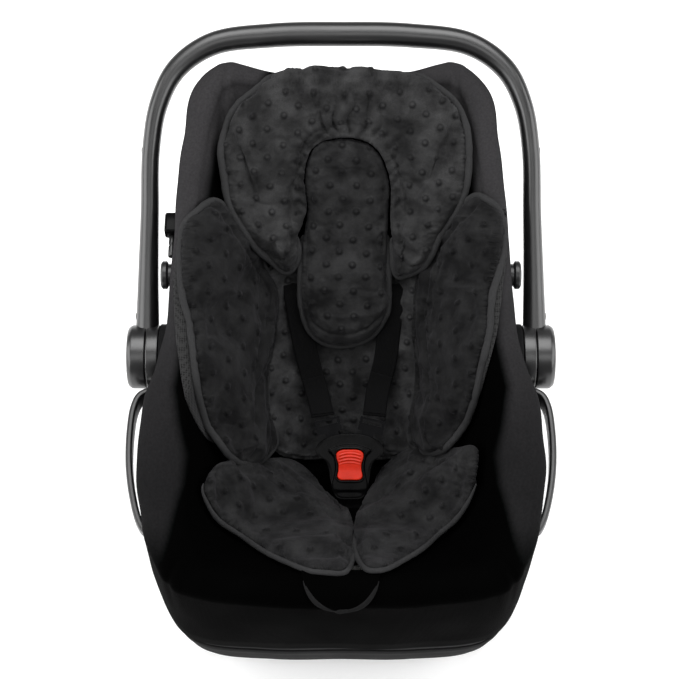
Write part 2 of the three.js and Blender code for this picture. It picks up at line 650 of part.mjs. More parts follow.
function handleHalf(outer) {
  const far = HANDLE_LINE.slice(0, -1).reverse().map(([x, ...rest]) => [-x, ...rest]);
  const loop = [...HANDLE_LINE, ...far];
  const line = curve(loop.map(([x, y]) => v3(x, y, 0)), false, "centripetal");
  const widths = curve(loop.map(([, , w]) => v3(w, 0, 0)), false, "catmullrom");
  const straight = [0, 0.1, 0.2];
  const bend = [0.24, 0.27, 0.3, 0.33, 0.36, 0.39, 0.43];
  const shares = [...straight, ...bend, 0.5];
  const stations = [...shares, ...shares.slice(0, -1).reverse().map((t) => 1 - t)];
  const { halfDepth: b, wall } = HANDLE;
  const rows = [0, wall].map((inset) =>
    stations.map((t) => {
      const p = line.getPointAt(t);
      const tangent = line.getTangentAt(t);
      const a = widths.getPoint(line.getUtoTmapping(t)).x;
      const out = v3(tangent.y, -tangent.x, 0).multiplyScalar(outer ? 1 : -1);
      return HALF_SECTION.map((degrees) => {
        const across = (a - inset) * Math.cos(rad(degrees)) ** 0.8 + GAP / 2;
        const deep = (b - inset) * Math.sign(degrees) * Math.abs(Math.sin(rad(degrees))) ** 0.8;
        return p.clone().addScaledVector(out, across).add(v3(0, 0, deep));
      });
    }),
  );
  return gridSolid(rows[0], rows[1], false);
}

// Turned about X from a list of radius and x.
function lathe(profile, sides = 20) {
  const points = profile.map(([r, x]) => new THREE.Vector2(r, x));
  return solidOf(new THREE.LatheGeometry(points, sides).rotateZ(-Math.PI / 2));
}

function hubCups() {
  const { inner, outer, split, r, wall } = HUB;
  const low = split - GAP / 2;
  const high = split + GAP / 2;
  const bore = PIN.r + 2 * GAP;
  const window = BUTTON.r + 2 * GAP;
  const innerProfile = [
    [bore, inner], [bore, inner + 4], [r - wall, inner + 4], [r - wall, low],
    [r, low], [r, inner], [bore, inner],
  ];
  const outerProfile = [
    [window, outer - wall], [window, outer], [r - wall, outer], [r, outer - wall],
    [r, high], [r - wall, high], [r - wall, outer - wall], [window, outer - wall],
  ];
  return { inner: lathe(innerProfile), outer: lathe(outerProfile) };
}

const cups = hubCups();
piece("handle_inner_shell", handleHalf(false).add(bothSides(cups.inner)), PLASTIC, handleFrame);
piece("handle_outer_shell", handleHalf(true).add(bothSides(cups.outer)), PLASTIC, handleFrame);

const GEAR = { from: HUB.inner + 13, to: HUB.inner + 18, r: 26, root: 22, teeth: 9 };

function pivotPin() {
  const { r, head, from, headFrom, headTo } = PIN;
  return lathe([[0, from], [r, from], [r, headFrom], [head, headFrom], [head, headTo], [0, headTo]], 16);
}

function lockGear() {
  const points = Array.from({ length: GEAR.teeth * 4 }, (_, i) => {
    const r = i % 4 < 2 ? GEAR.r : GEAR.root;
    const a = ((i + 0.5) / (GEAR.teeth * 4)) * 2 * Math.PI;
    return new THREE.Vector2(r * Math.cos(a), r * Math.sin(a));
  });
  const depth = GEAR.to - GEAR.from;
  const g = new THREE.ExtrudeGeometry(new THREE.Shape(points), { depth, bevelEnabled: false });
  return solidOf(g.rotateY(Math.PI / 2).translate(GEAR.from, 0, 0));
}

const lockSpring = coil(14, 7.6, 2, 0.8).rotate([0, 90, 0]).translate([HUB.inner + 4.8, 0, 0]);

function handleButton() {
  const face = HUB.outer + BUTTON.proud;
  const foot = GEAR.to + GAP;
  const { r, stemR, capDepth, edge } = BUTTON;
  const under = HUB.outer - capDepth;
  const stem = [[0, foot], [stemR, foot], [stemR, under]];
  return lathe([...stem, [r, under], [r, face - edge], [r - edge, face], [0, face]], 16);
}

for (const [name, side] of [["left", -1], ["right", 1]]) {
  const sided = (solid) => (side > 0 ? solid : solid.mirror([1, 0, 0]));
  piece(`pivot_pin_${name}`, sided(pivotPin()), STEEL, handleFrame);
  piece(`lock_gear_${name}`, sided(lockGear()), PLASTIC, handleFrame);
  piece(`lock_spring_${name}`, sided(lockSpring), STEEL, handleFrame);
  piece(`handle_button_${name}`, sided(handleButton()), PLASTIC, handleFrame);
}

// ---- Fittings on the shell's sides ----
function shellEnvelope(clear) {
  const rows = [0, 6, 14, 30, 50, 70, 90].map((a) => rimStations.map((s) => wallPoint(s, a)));
  const normals = rowNormals(rows);
  const outward = normals[1][0].y > 0 ? 1 : -1;
  const skin = sunk(rows, normals, () => -clear * outward);
  const axis = rows.map((row) => row.map((p) => v3(0, BASE.y, p.z)));
  return gridSolid(skin, axis, true);
}
const envelope = shellEnvelope(0.8);

const GUIDE = { top: 257, height: 24, thickness: 7 };
const GUIDE_LINE = [
  [206, -42], [212, -56], [214.5, -85], [213, -125], [207, -160], [199, -186], [192, -197],
];

function beltGuide() {
  const line = curve(GUIDE_LINE.map(([x, y]) => v3(x, y, 0)), false, "centripetal");
  const sides = [1, -1].map((sign) =>
    Array.from({ length: 13 }, (_, i) => {
      const p = line.getPointAt(i / 12);
      const tangent = line.getTangentAt(i / 12);
      const out = v3(-tangent.y, tangent.x, 0).multiplyScalar((sign * GUIDE.thickness) / 2);
      const taper = 1 - 0.45 * (i / 12) ** 2;
      return [0, -GUIDE.height * taper].map((z) => p.clone().add(out).setZ(GUIDE.top + z));
    }),
  );
  const root = box(30, 16, GUIDE.height, 195, -46, GUIDE.top - GUIDE.height / 2);
  return gridSolid(sides[0], sides[1], false).add(root);
}

const STUD = { y: 60, z: PIVOT_Z + 64, r: 14.5, neck: 11.5, root: 166, shoulder: 178, face: 184 };
function canopyStud() {
  const { r, neck, root, shoulder, face } = STUD;
  const profile = [
    [0, root], [neck, root], [neck, shoulder - 1], [r, shoulder], [r, face - 2], [neck, face], [0, face],
  ];
  return lathe(profile).translate([0, STUD.y, STUD.z]);
}

for (const [name, side] of [["left", -1], ["right", 1]]) {
  const sided = (solid) => (side > 0 ? solid : solid.mirror([1, 0, 0])).subtract(envelope);
  piece(`belt_guide_${name}`, sided(beltGuide()), PLASTIC);
  piece(`canopy_stud_${name}`, sided(canopyStud()), PLASTIC);
}

function canopyClip() {
  const block = box(16, 26, 16, 174, 112, PIVOT_Z + 78);
  const rail = box(8, 30, 7, 174, 90, PIVOT_Z + 74);
  return block.add(rail).mirror([1, 0, 0]).subtract(envelope);
}
piece("canopy_clip_left", canopyClip(), PLASTIC);

export default carSeat;
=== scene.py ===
"""Looks of an infant car seat: covered shell, carry handle, three-point harness and dotted plush insert.

Lengths are in millimetres up to the meshes, which are in metres.
Row frame: +X across, +Y to the head end, +Z up.
Seat frame: U across, V up the seat and W out of its mouth, turned 30 degrees about the handle's pivot axis.
"""

import math

import bmesh
import bpy
import numpy as np
from mathutils import Matrix, Vector
from mathutils.bvhtree import BVHTree
from mathutils.geometry import delaunay_2d_cdt


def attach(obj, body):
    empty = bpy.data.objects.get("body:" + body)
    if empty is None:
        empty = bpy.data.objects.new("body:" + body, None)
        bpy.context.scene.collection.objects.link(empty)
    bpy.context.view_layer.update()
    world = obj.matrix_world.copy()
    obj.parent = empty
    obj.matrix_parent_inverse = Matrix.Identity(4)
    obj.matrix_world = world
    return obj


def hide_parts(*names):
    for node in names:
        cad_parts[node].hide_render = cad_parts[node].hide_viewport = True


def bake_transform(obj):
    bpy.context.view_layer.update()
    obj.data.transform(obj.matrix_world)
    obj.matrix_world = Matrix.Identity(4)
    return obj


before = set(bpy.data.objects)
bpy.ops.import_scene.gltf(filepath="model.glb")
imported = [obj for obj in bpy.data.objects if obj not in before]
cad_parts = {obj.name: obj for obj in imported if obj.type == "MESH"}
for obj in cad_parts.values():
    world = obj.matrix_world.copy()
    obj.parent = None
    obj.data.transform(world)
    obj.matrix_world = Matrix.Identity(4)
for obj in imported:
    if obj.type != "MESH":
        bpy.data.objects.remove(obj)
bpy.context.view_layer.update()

# ---- Dimensions shared with the CAD ----
MM = 0.001
PIVOT_Z = 255
TILT = math.radians(30)
COS, SIN = math.cos(TILT), math.sin(TILT)

# Half the rim from the head's centre to the foot's centre.
# x, y, height above the pivot, roll width, wall fullness.
RIM = [
    (0, 254, 138, 20, 1.7), (70, 257.5, 145, 22, 1.7), (120, 262.5, 152, 28, 1.7), (151, 240, 145, 30, 1.7),
    (163, 180, 127, 25, 1.8), (170, 108, 97, 22, 1.9), (175, 30, 64, 26, 2.1), (180, -7, 48, 34, 2.2),
    (188, -37, 38, 42, 2.3), (198, -65, 31, 46, 2.4), (203, -122, 20, 50, 2.6), (199, -171, 14, 48, 2.8),
    (187, -221, 10, 44, 3.3), (159, -263, 10, 40, 3.5), (80, -281, 13, 36, 3.1), (0, -284, 14, 36, 2.9),
]
ROLL_RISE = 0.34
BASE = {"half_width": 134, "half_length": 128, "y": -44, "power": 3.4}
HEM_SIDE, HEM_FOOT = 6, 17
SEAM = 5
BED_CENTRE_Y = -20
BED_POWER = 2.3
SPINE = np.array([
    (-262, 8), (-230, -24), (-190, -62), (-140, -102), (-90, -133), (-45, -146),
    (-8, -131), (35, -88), (95, -24), (155, 41), (205, 97), (240, 136), (262, 160),
], float)
COVER_T, FOAM_T, SHELL_T, LAYER_GAP = 3, 14, 3, 0.6
HUB = {"inner": 187.5, "outer": 220, "split": 200.8, "r": 33}
PIN_R = 6.6  # hole for the pivot pin
BUTTON_R = 17.1  # hole for the button in the hub's face
PARTING = 0.4  # half the gap between the hub's two cups
BOSS = {"inner": 158, "outer": 186.9, "r": 34}
# How far out the skins may stand beside the hubs: outer face, inner face.
COVER_LIMITS, UPPER_LIMITS, LOWER_LIMITS = (184.3, 182.6), (180.5, 177.5), (183.0, 180.0)

# ---- Settings of the visual model alone ----
CLOTH_T = 2.4
PIPING_SIDES = 12
SHARP_DEGREES = 40
SIM_FRAMES = 20


# ---- Meshes ----
def unit(a):
    return a / np.maximum(np.linalg.norm(a, axis=-1, keepdims=True), 1e-12)


def smooth_step(x, a, b):
    t = np.clip((x - a) / (b - a), 0, 1)
    return t * t * (3 - 2 * t)


def to_row(points):
    """Seat-frame points in the row frame."""
    p = np.asarray(points, float)
    u, v, w = p[..., 0], p[..., 1], p[..., 2]
    return np.stack([u, v * COS - w * SIN, PIVOT_Z + v * SIN + w * COS], -1)


def to_seat(points):
    p = np.asarray(points, float)
    y, z = p[..., 1], p[..., 2] - PIVOT_Z
    return np.stack([p[..., 0], y * COS + z * SIN, -y * SIN + z * COS], -1)


def smooth(o):
    o.data.polygons.foreach_set("use_smooth", [True] * len(o.data.polygons))
    return o


def linked(name, mesh):
    o = bpy.data.objects.new(name, mesh)
    bpy.context.scene.collection.objects.link(o)
    return o


def mark(o, key, values):
    """A value at each point of a mesh, for its material to read."""
    o.data.attributes.new(key, "FLOAT", "POINT").data.foreach_set("value", values.astype(np.float32))


def mesh_object(name, verts, faces):
    mesh = bpy.data.meshes.new(name)
    mesh.from_pydata((np.asarray(verts, float) * MM).tolist(), [], [tuple(map(int, f)) for f in faces])
    mesh.update()
    return smooth(linked(name, mesh))


def points_of(o):
    co = np.zeros(len(o.data.vertices) * 3)
    o.data.vertices.foreach_get("co", co)
    return co.reshape(-1, 3) / MM


def set_points(o, points):
    o.data.vertices.foreach_set("co", (np.asarray(points) * MM).ravel())
    o.data.update()


def normals_of(o):
    n = np.zeros(len(o.data.vertices) * 3)
    o.data.vertex_normals.foreach_get("vector", n)
    return n.reshape(-1, 3)


def grid_faces(rows, columns, ring=True, wrap_rows=False, start=0):
    r = np.arange(rows if wrap_rows else rows - 1)
    c = np.arange(columns if ring else columns - 1)
    i, j = np.meshgrid(r, c, indexing="ij")
    i2, j2 = (i + 1) % rows, (j + 1) % columns
    at = lambda a, b: start + a * columns + b
    return np.stack([at(i, j), at(i, j2), at(i2, j2), at(i2, j)], -1).reshape(-1, 4).tolist()


def capped_faces(rows, columns):
    """Faces of a swept solid, with a flat cap at each end."""
    last = (rows - 1) * columns
    return grid_faces(rows, columns) + [tuple(range(columns)), tuple(range(last, last + columns))]


def tidy_normals(o, merge=True):
    bm = bmesh.new()
    bm.from_mesh(o.data)
    if merge:
        bmesh.ops.remove_doubles(bm, verts=bm.verts, dist=1e-6)
    bmesh.ops.recalc_face_normals(bm, faces=bm.faces)
    bm.to_mesh(o.data)
    bm.free()
    o.data.update()
    return o


def layer_object(name, top, bottom, ring=True, capped=False):
    """A closed solid between two grids of the same size. Where capped, the last row closes onto a point."""
    rows, columns = top.shape[:2]
    verts = np.concatenate([top.reshape(-1, 3), bottom[::-1].reshape(-1, 3)])
    if capped:
        faces = grid_faces(rows, columns, ring) + grid_faces(rows, columns, ring, start=rows * columns)
        tip = len(verts)
        verts = np.concatenate([verts, top[-1].mean(0)[None], bottom[-1].mean(0)[None]])
        for row, centre in (((rows - 1) * columns, tip), (rows * columns, tip + 1)):
            faces += [(row + j, row + (j + 1) % columns, centre) for j in range(columns)]
        last = (2 * rows - 1) * columns
        faces += [(j, (j + 1) % columns, last + (j + 1) % columns, last + j) for j in range(columns)]
    else:
        faces = grid_faces(2 * rows, columns, ring, wrap_rows=True)
        if not ring:
            for j in (0, columns - 1):
                side = [i * columns + j for i in range(2 * rows)]
                faces += [(side[i], side[i + 1], side[2 * rows - 2 - i], side[2 * rows - 1 - i])
                          for i in range(rows - 1)]
    return tidy_normals(mesh_object(name, verts, faces))


def crisp(o):
    """Smooth shading that breaks at sharp edges."""
    smooth(o)
    o.data.set_sharp_from_angle(angle=math.radians(SHARP_DEGREES))
    return o


def apply_modifiers(o):
    dg = bpy.context.evaluated_depsgraph_get()
    mesh = bpy.data.meshes.new_from_object(o.evaluated_get(dg))
    o.modifiers.clear()
    o.data = mesh
    return o


def cut(o, cutter):
    m = o.modifiers.new("cut", "BOOLEAN")
    m.operation, m.solver, m.object = "DIFFERENCE", "MANIFOLD", cutter
    apply_modifiers(o)
    bpy.data.objects.remove(cutter)
    return o


def joined(name, objects):
    """One object of several, with its materials kept."""
    bm = bmesh.new()
    materials = []
    for o in objects:
        slots = []
        for m in o.data.materials:
            if m not in materials:
                materials.append(m)
            slots.append(materials.index(m))
        before = len(bm.faces)
        bm.from_mesh(o.data)
        bm.faces.ensure_lookup_table()
        for f in bm.faces[before:]:
            f.material_index = slots[f.material_index] if slots else 0
    mesh = bpy.data.meshes.new(name)
    bm.to_mesh(mesh)
    bm.free()
    for m in materials:
        mesh.materials.append(m)
    for o in objects:
        bpy.data.objects.remove(o)
    return linked(name, mesh)


def stands_for(o, body, node, slot):
    """A piece that rides a body and stands for a node of the CAD, whose part it hides. Its slot is not used."""
    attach(o, body)
    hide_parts(node)
    return o


# ---- Curves ----
def spline(points, t, closed=False, centripetal=True):
    """Catmull-Rom through the points, at shares t of the way along their list."""
    p = np.asarray(points, float)
    t = np.asarray(t, float)
    n = len(p)
    if closed:
        s = (t % 1) * n
        i = np.floor(s).astype(int) % n
        four = [p[(i + k) % n] for k in (-1, 0, 1, 2)]
    else:
        long = np.vstack([2 * p[0] - p[1], p, 2 * p[-1] - p[-2]])
        s = np.clip(t, 0, 1) * (n - 1)
        i = np.minimum(np.floor(s).astype(int), n - 2)
        four = [long[i + k] for k in range(4)]
    f = (s - np.floor(s) if closed else s - i)[:, None]
    power = 0.5 if centripetal else 0
    d = [np.linalg.norm(four[k + 1] - four[k], axis=1)[:, None] ** power for k in range(3)]
    slope = lambda a, b, c, h0, h1: (b - a) / h0 - (c - a) / (h0 + h1) + (c - b) / h1
    m0 = slope(four[0], four[1], four[2], d[0], d[1]) * d[1]
    m1 = slope(four[1], four[2], four[3], d[1], d[2]) * d[1]
    a, b = four[1], four[2]
    return a + m0 * f + (3 * (b - a) - 2 * m0 - m1) * f**2 + (2 * (a - b) + m0 + m1) * f**3


def evenly(points, count, closed=False):
    """A curve through the points, at count evenly spaced places."""
    fine = spline(points, np.linspace(0, 1, 2001), closed)
    if closed:
        fine[-1] = fine[0]
    length = np.concatenate([[0], np.cumsum(np.linalg.norm(np.diff(fine, axis=0), axis=1))])
    at = np.linspace(0, length[-1], count, endpoint=not closed)
    return np.stack([np.interp(at, length, fine[:, k]) for k in range(fine.shape[1])], -1)


def tangents(line, closed=False):
    if closed:
        return unit(np.roll(line, -1, 0) - np.roll(line, 1, 0))
    return unit(np.gradient(line, axis=0))


def tube(name, line, radius, closed, squash):
    """Piping along a line, a little flatter than round."""
    t = tangents(line, closed)
    side = unit(np.cross(t, np.array([0, -SIN, COS])))
    over = np.cross(side, t)
    a = np.linspace(0, 2 * math.pi, PIPING_SIDES, endpoint=False)
    radius = np.broadcast_to(radius, len(line))[:, None, None]
    ring_out = side[:, None] * np.cos(a)[:, None] + over[:, None] * np.sin(a)[:, None] * squash
    rows = line[:, None] + radius * ring_out
    size = len(line), PIPING_SIDES
    faces = grid_faces(*size, wrap_rows=True) if closed else capped_faces(*size)
    return tidy_normals(mesh_object(name, rows.reshape(-1, 3), faces))


# ---- Materials ----
def new_material(name, color, roughness, metallic=0.0, sheen=0.0, specular=0.5):
    m = bpy.data.materials.new(name)
    m.use_nodes = True
    shader = m.node_tree.nodes["Principled BSDF"]
    shader.inputs["Base Color"].default_value = (*color, 1)
    shader.inputs["Roughness"].default_value = roughness
    shader.inputs["Metallic"].default_value = metallic
    shader.inputs["Specular IOR Level"].default_value = specular
    if sheen:
        shader.inputs["Sheen Weight"].default_value = sheen
        shader.inputs["Sheen Roughness"].default_value = 0.5
        shader.inputs["Sheen Tint"].default_value = (0.9, 0.88, 0.95, 1)
    return m


class Nodes:
    """Short names for the nodes of one material."""

    def __init__(self, m):
        self.tree = m.node_tree
        self.shader = self.tree.nodes["Principled BSDF"]
        self.place = self.new("ShaderNodeTexCoord").outputs["Object"]

    def new(self, kind, **settings):
        n = self.tree.nodes.new(kind)
        for k, v in settings.items():
            setattr(n, k, v)
        return n

    def link(self, a, b):
        self.tree.links.new(a, b)

    def texture(self, kind, output, inputs, **settings):
        n = self.new("ShaderNodeTex" + kind, **settings)
        for k, v in inputs.items():
            n.inputs[k].default_value = v
        self.link(self.place, n.inputs["Vector"])
        return n.outputs[output]

    def noise(self, scale, detail, rough=0.5):
        return self.texture("Noise", "Fac", {"Scale": scale, "Detail": detail, "Roughness": rough})

    def marked(self, key):
        return self.new("ShaderNodeAttribute", attribute_name=key).outputs["Fac"]

    def gloss(self, value, low, high):
        """Roughness that runs from low to high over the middle of a noise."""
        self.link(self.ramp(value, 0.3, 0.7, low, high), self.shader.inputs["Roughness"])

    def math(self, operation, a, b=None):
        n = self.new("ShaderNodeMath", operation=operation)
        for socket, x in zip(n.inputs, (a, b)):
            if x is None:
                continue
            if isinstance(x, (int, float)):
                socket.default_value = x
            else:
                self.link(x, socket)
        return n.outputs[0]

    def ramp(self, value, low, high, to_low, to_high):
        n = self.new("ShaderNodeMapRange")
        for k, x in zip(("From Min", "From Max", "To Min", "To Max"), (low, high, to_low, to_high)):
            n.inputs[k].default_value = x
        self.link(value, n.inputs["Value"])
        return n.outputs["Result"]

    def blend_colors(self, share, a, b):
        n = self.new("ShaderNodeMix", data_type="RGBA", clamp_factor=False)
        n.inputs["A"].default_value = (*a, 1)
        n.inputs["B"].default_value = (*b, 1)
        self.link(share, n.inputs["Factor"])
        self.link(n.outputs["Result"], self.shader.inputs["Base Color"])

    def bump(self, *layers):
        """Layers of (height, strength, distance in metres), one over the other."""
        last = None
        for height, strength, distance in layers:
            n = self.new("ShaderNodeBump")
            n.inputs["Strength"].default_value = strength
            n.inputs["Distance"].default_value = distance
            self.link(height, n.inputs["Height"])
            if last:
                self.link(last, n.inputs["Normal"])
            last = n.outputs["Normal"]
        self.link(last, self.shader.inputs["Normal"])


def moulded_plastic(name, color, roughness, grain, strength, scuff=0.06, specular=0.5):
    """Textured moulding: fine spark grain, slow changes of gloss, and a little lighter where hands rub it."""
    m = new_material(name, color, roughness, specular=specular)
    n = Nodes(m)
    n.gloss(n.noise(18, 3), roughness - scuff, roughness + scuff)
    rubbed = tuple(min(1, c * 1.5 + 0.002) for c in color)
    n.blend_colors(n.ramp(n.noise(60, 5, 0.6), 0.35, 0.75, 0, 1), color, rubbed)
    n.bump((n.noise(grain, 2, 0.7), strength, 0.0002), (n.noise(25, 2), 0.08, 0.001))
    return m


def knit_fabric(name, dark, light, pitch, strength, roughness=0.9, painted_light_and_shade=False):
    """Fine knit: crossing rows of loops at the given pitch, heathered colour and slow wrinkles."""
    m = new_material(name, dark, roughness, specular=0.02)
    n = Nodes(m)
    bands = {"Scale": 0.314 / (pitch * MM), "Distortion": 0.6, "Detail": 1.0}
    wave = [n.texture("Wave", "Fac", bands, wave_type="BANDS", bands_direction=way) for way in "XYZ"]
    loops = n.math("MULTIPLY", n.math("ADD", wave[0], wave[1]), n.math("ADD", wave[1], wave[2]))
    heather = n.noise(420, 4, 0.7)
    cloud = n.noise(14, 3)
    share = n.math("MULTIPLY", n.ramp(heather, 0.3, 0.7, 0.55, 1), n.ramp(cloud, 0.25, 0.75, 0.7, 1))
    # Painted light and shade: the marked share keeps the lit colour on the cover's outer parts, and where it falls
    # to 0 the colour goes below zero, to painted dark shade.
    if painted_light_and_shade:
        painted_light = n.marked("painted_light")
        painted_shade = n.math("MULTIPLY", n.math("SUBTRACT", 1.0, painted_light), 0.35)
        share = n.math("SUBTRACT", n.math("MULTIPLY", share, painted_light), painted_shade)
    n.blend_colors(share, dark, light)
    n.gloss(cloud, roughness - 0.07, min(1, roughness + 0.05))
    n.bump((loops, strength, 0.0004), (n.noise(35, 4, 0.6), 0.25, 0.0015))
    return m


def plush_fabric(name, dark, light):
    """Short velvety pile, brushed in patches, with painted shade round the flanks of the raised dots."""
    m = new_material(name, dark, 0.85, sheen=0.04, specular=0.05)
    n = Nodes(m)
    pile = n.noise(900, 3, 0.8)
    brushed = n.noise(38, 4, 0.6)
    fold = n.noise(110, 3, 0.6)
    dots = n.marked("dot")
    # Painted shade: darkest halfway up each raised dot, a ring of shade round its flank.
    ring = n.math("SUBTRACT", 1.0, n.math("MULTIPLY", n.math("PINGPONG", dots, 0.5), 1.3))
    share = n.math("MULTIPLY", n.ramp(pile, 0.25, 0.75, 0.45, 1), n.ramp(brushed, 0.35, 0.68, 0.22, 1))
    n.blend_colors(n.math("MULTIPLY", share, ring), dark, light)
    n.gloss(brushed, 0.75, 0.95)
    n.bump((pile, 0.5, 0.0006), (fold, 0.5, 0.0022), (brushed, 0.45, 0.004), (dots, 0.6, 0.0022))
    return m


def webbing_weave(name, dark, light):
    """Seat-belt webbing: fine ribs along it, a herringbone of picks across them, and a flatter selvedge; its
    colour follows the weave's height, with painted shade in the grooves and painted light on the ribs.
    """
    m = new_material(name, dark, 0.65, sheen=0.01, specular=0.04)
    n = Nodes(m)
    across, along = n.marked("across"), n.marked("along")
    ribs = n.math("SINE", n.math("MULTIPLY", across, 45.0))
    zigzag = n.math("PINGPONG", n.math("MULTIPLY", across, 3.0), 1.0)
    picks = n.math("SINE", n.math("MULTIPLY", n.math("ADD", along, n.math("MULTIPLY", zigzag, 0.9)), 5.0))
    edge = n.ramp(n.math("ABSOLUTE", across), 0.84, 0.92, 1, 0)
    height = n.math("MULTIPLY", n.math("ADD", n.math("MULTIPLY", ribs, 0.5), picks), edge)
    # Painted shade in the weave's grooves and painted light on its raised ribs and picks.
    n.blend_colors(n.ramp(height, -1.5, 1.5, 0, 1), dark, light)
    n.bump((height, 0.45, 0.0004), (n.noise(500, 3, 0.7), 0.2, 0.0002))
    return m


def spacer_mesh(name, dark, light):
    """Open spacer mesh: staggered round holes in a thin knit, drawn as a bump and as painted shade down in them.
    """
    m = new_material(name, dark, 0.7, sheen=0.05, specular=0.15)
    n = Nodes(m)
    hole = n.ramp(n.texture("Voronoi", "Distance", {"Scale": 420, "Randomness": 0.15}), 0.2, 0.5, 0, 1)
    # Painted shade: the holes are coloured dark, as the shade inside them.
    n.blend_colors(hole, dark, light)
    n.bump((hole, 0.8, 0.0006))
    return m


def worn_metal(name, color, roughness):
    m = new_material(name, color, roughness, metallic=1.0)
    n = Nodes(m)
    n.gloss(n.noise(120, 4, 0.6), roughness - 0.1, roughness + 0.12)
    n.blend_colors(n.noise(40, 3), color, tuple(c * 0.75 for c in color))
    n.bump((n.noise(700, 2), 0.1, 0.0001))
    return m


def bead_foam(name):
    """Moulded bead foam: packed round cells, with painted shade in the grooves between them."""
    m = new_material(name, (0.75, 0.75, 0.73), 0.8)
    n = Nodes(m)
    edge = n.texture("Voronoi", "Distance", {"Scale": 230}, feature="DISTANCE_TO_EDGE")
    cell = n.ramp(edge, 0, 0.12, 0, 1)
    # Painted shade in the grooves between the beads.
    n.blend_colors(cell, (0.5, 0.5, 0.49), (0.78, 0.78, 0.76))
    n.bump((cell, 0.4, 0.0004))
    return m


LOOKS = {
    # The cover's light and dark come from a share marked on its mesh: painted light and painted shade.
    "cover": knit_fabric("cover_knit", (0.0075, 0.0074, 0.0077), (0.037, 0.0358, 0.0375), 0.9, 0.2,
                         painted_light_and_shade=True),
    "binding": knit_fabric("binding_tape", (0.014, 0.014, 0.0144), (0.038, 0.038, 0.0388), 0.7, 0.4,
                           roughness=0.85),
    # One dotted plush in five copies whose brightness is painted: lighter on the back and head support as painted
    # light, darker on the head pad, wings and legs as painted shade.
    "head_plush_painted_light": plush_fabric("dotted_plush_head_painted_light", (0.003, 0.003, 0.0031), (0.047, 0.047, 0.0475)),
    "head_pad_plush_painted_shade": plush_fabric("dotted_plush_head_pad_painted_shade", (0.0025, 0.0025, 0.0026), (0.033, 0.033, 0.0335)),
    "back_plush_painted_light": plush_fabric("dotted_plush_back_painted_light", (0.003, 0.003, 0.0031), (0.055, 0.055, 0.056)),
    "wing_plush_painted_shade": plush_fabric("dotted_plush_wing_painted_shade", (0.0018, 0.0018, 0.0019), (0.021, 0.021, 0.0213)),
    "leg_plush_painted_shade": plush_fabric("dotted_plush_leg_painted_shade", (0.002, 0.002, 0.0021), (0.026, 0.026, 0.0264)),
    "mesh": spacer_mesh("spacer_mesh_fabric", (0.0015, 0.0015, 0.0015), (0.017, 0.017, 0.017)),
    "flap_binding": knit_fabric("flap_binding_tape", (0.004, 0.004, 0.0041), (0.013, 0.013, 0.0133), 0.7, 0.4,
                                roughness=0.85),
    "webbing": webbing_weave("harness_webbing_weave", (0.0012, 0.0012, 0.0013), (0.0045, 0.0045, 0.0047)),
    "shell": moulded_plastic("shell_moulding", (0.0045, 0.0045, 0.0047), 0.68, 900, 0.5, specular=0.05),
    "handle": moulded_plastic("handle_moulding", (0.003, 0.003, 0.0032), 0.34, 1400, 0.12, specular=0.8),
    "trim": moulded_plastic("trim_moulding", (0.006, 0.006, 0.0063), 0.32, 1200, 0.2),
    "gloss": moulded_plastic("buckle_moulding", (0.0012, 0.0012, 0.0013), 0.2, 1600, 0.08, specular=0.06),
    "red": moulded_plastic("red_button_moulding", (0.42, 0.014, 0.003), 0.3, 1500, 0.1, scuff=0.03,
                           specular=0.2),
    "steel": worn_metal("zinc_steel", (0.42, 0.43, 0.44), 0.35),
    "tongue": worn_metal("blackened_steel", (0.008, 0.008, 0.0085), 0.4),
    "foam": bead_foam("bead_foam"),
}


def dress(o, *looks):
    o.data.materials.clear()
    for look in looks:
        o.data.materials.append(LOOKS[look])
    return o


# ---- The bowl ----
RIM_LOOP = np.array(RIM + [(-r[0], *r[1:]) for r in RIM[-2:0:-1]], float)
RIM_LOOP[:, 2] += PIVOT_Z


class Stations:
    """Places round the rim, at shares t of its list of points."""

    def __init__(self, t):
        self.p = spline(RIM_LOOP[:, :3], t, closed=True)
        step = 1e-4
        run = spline(RIM_LOOP[:, :3], t + step, closed=True) - spline(RIM_LOOP[:, :3], t - step, closed=True)
        inward = unit(np.stack([run[:, 1], -run[:, 0], np.zeros(len(t))], -1))
        outward = (inward * self.p)[:, :2].sum(1) > 0
        inward[outward] *= -1
        self.inward = inward
        shape = spline(RIM_LOOP[:, 3:], t, closed=True, centripetal=False)
        self.roll, self.full = shape[:, :1], shape[:, 1:]

    def wall(self, degrees):
        """The outer wall: 0 degrees is the rim, and 90 the edge of the flat base."""
        d = np.radians(np.broadcast_to(degrees, len(self.p)))[:, None]
        angle = np.arctan2(self.p[:, 1:2] + 10, self.p[:, :1])
        power = BASE["power"]
        reach = (np.abs(np.cos(angle) / BASE["half_width"]) ** power
                 + np.abs(np.sin(angle) / BASE["half_length"]) ** power) ** (-1 / power)
        foot = np.hstack([reach * np.cos(angle), BASE["y"] + reach * np.sin(angle)])
        f = np.maximum(np.cos(d), 0) ** (2 / self.full)
        g = np.sin(d) ** (2 / self.full)
        return np.hstack([foot + (self.p[:, :2] - foot) * f, self.p[:, 2:] * (1 - g)])

    def rolled(self, degrees):
        a = math.radians(degrees)
        rise = np.zeros_like(self.p)
        rise[:, 2:] = self.roll * ROLL_RISE * math.sin(a)
        return self.p + self.inward * self.roll * (1 - math.cos(a)) / 2 + rise

    def hem(self):
        return HEM_SIDE + (HEM_FOOT - HEM_SIDE) * smooth_step(-self.p[:, 1], 120, 260)


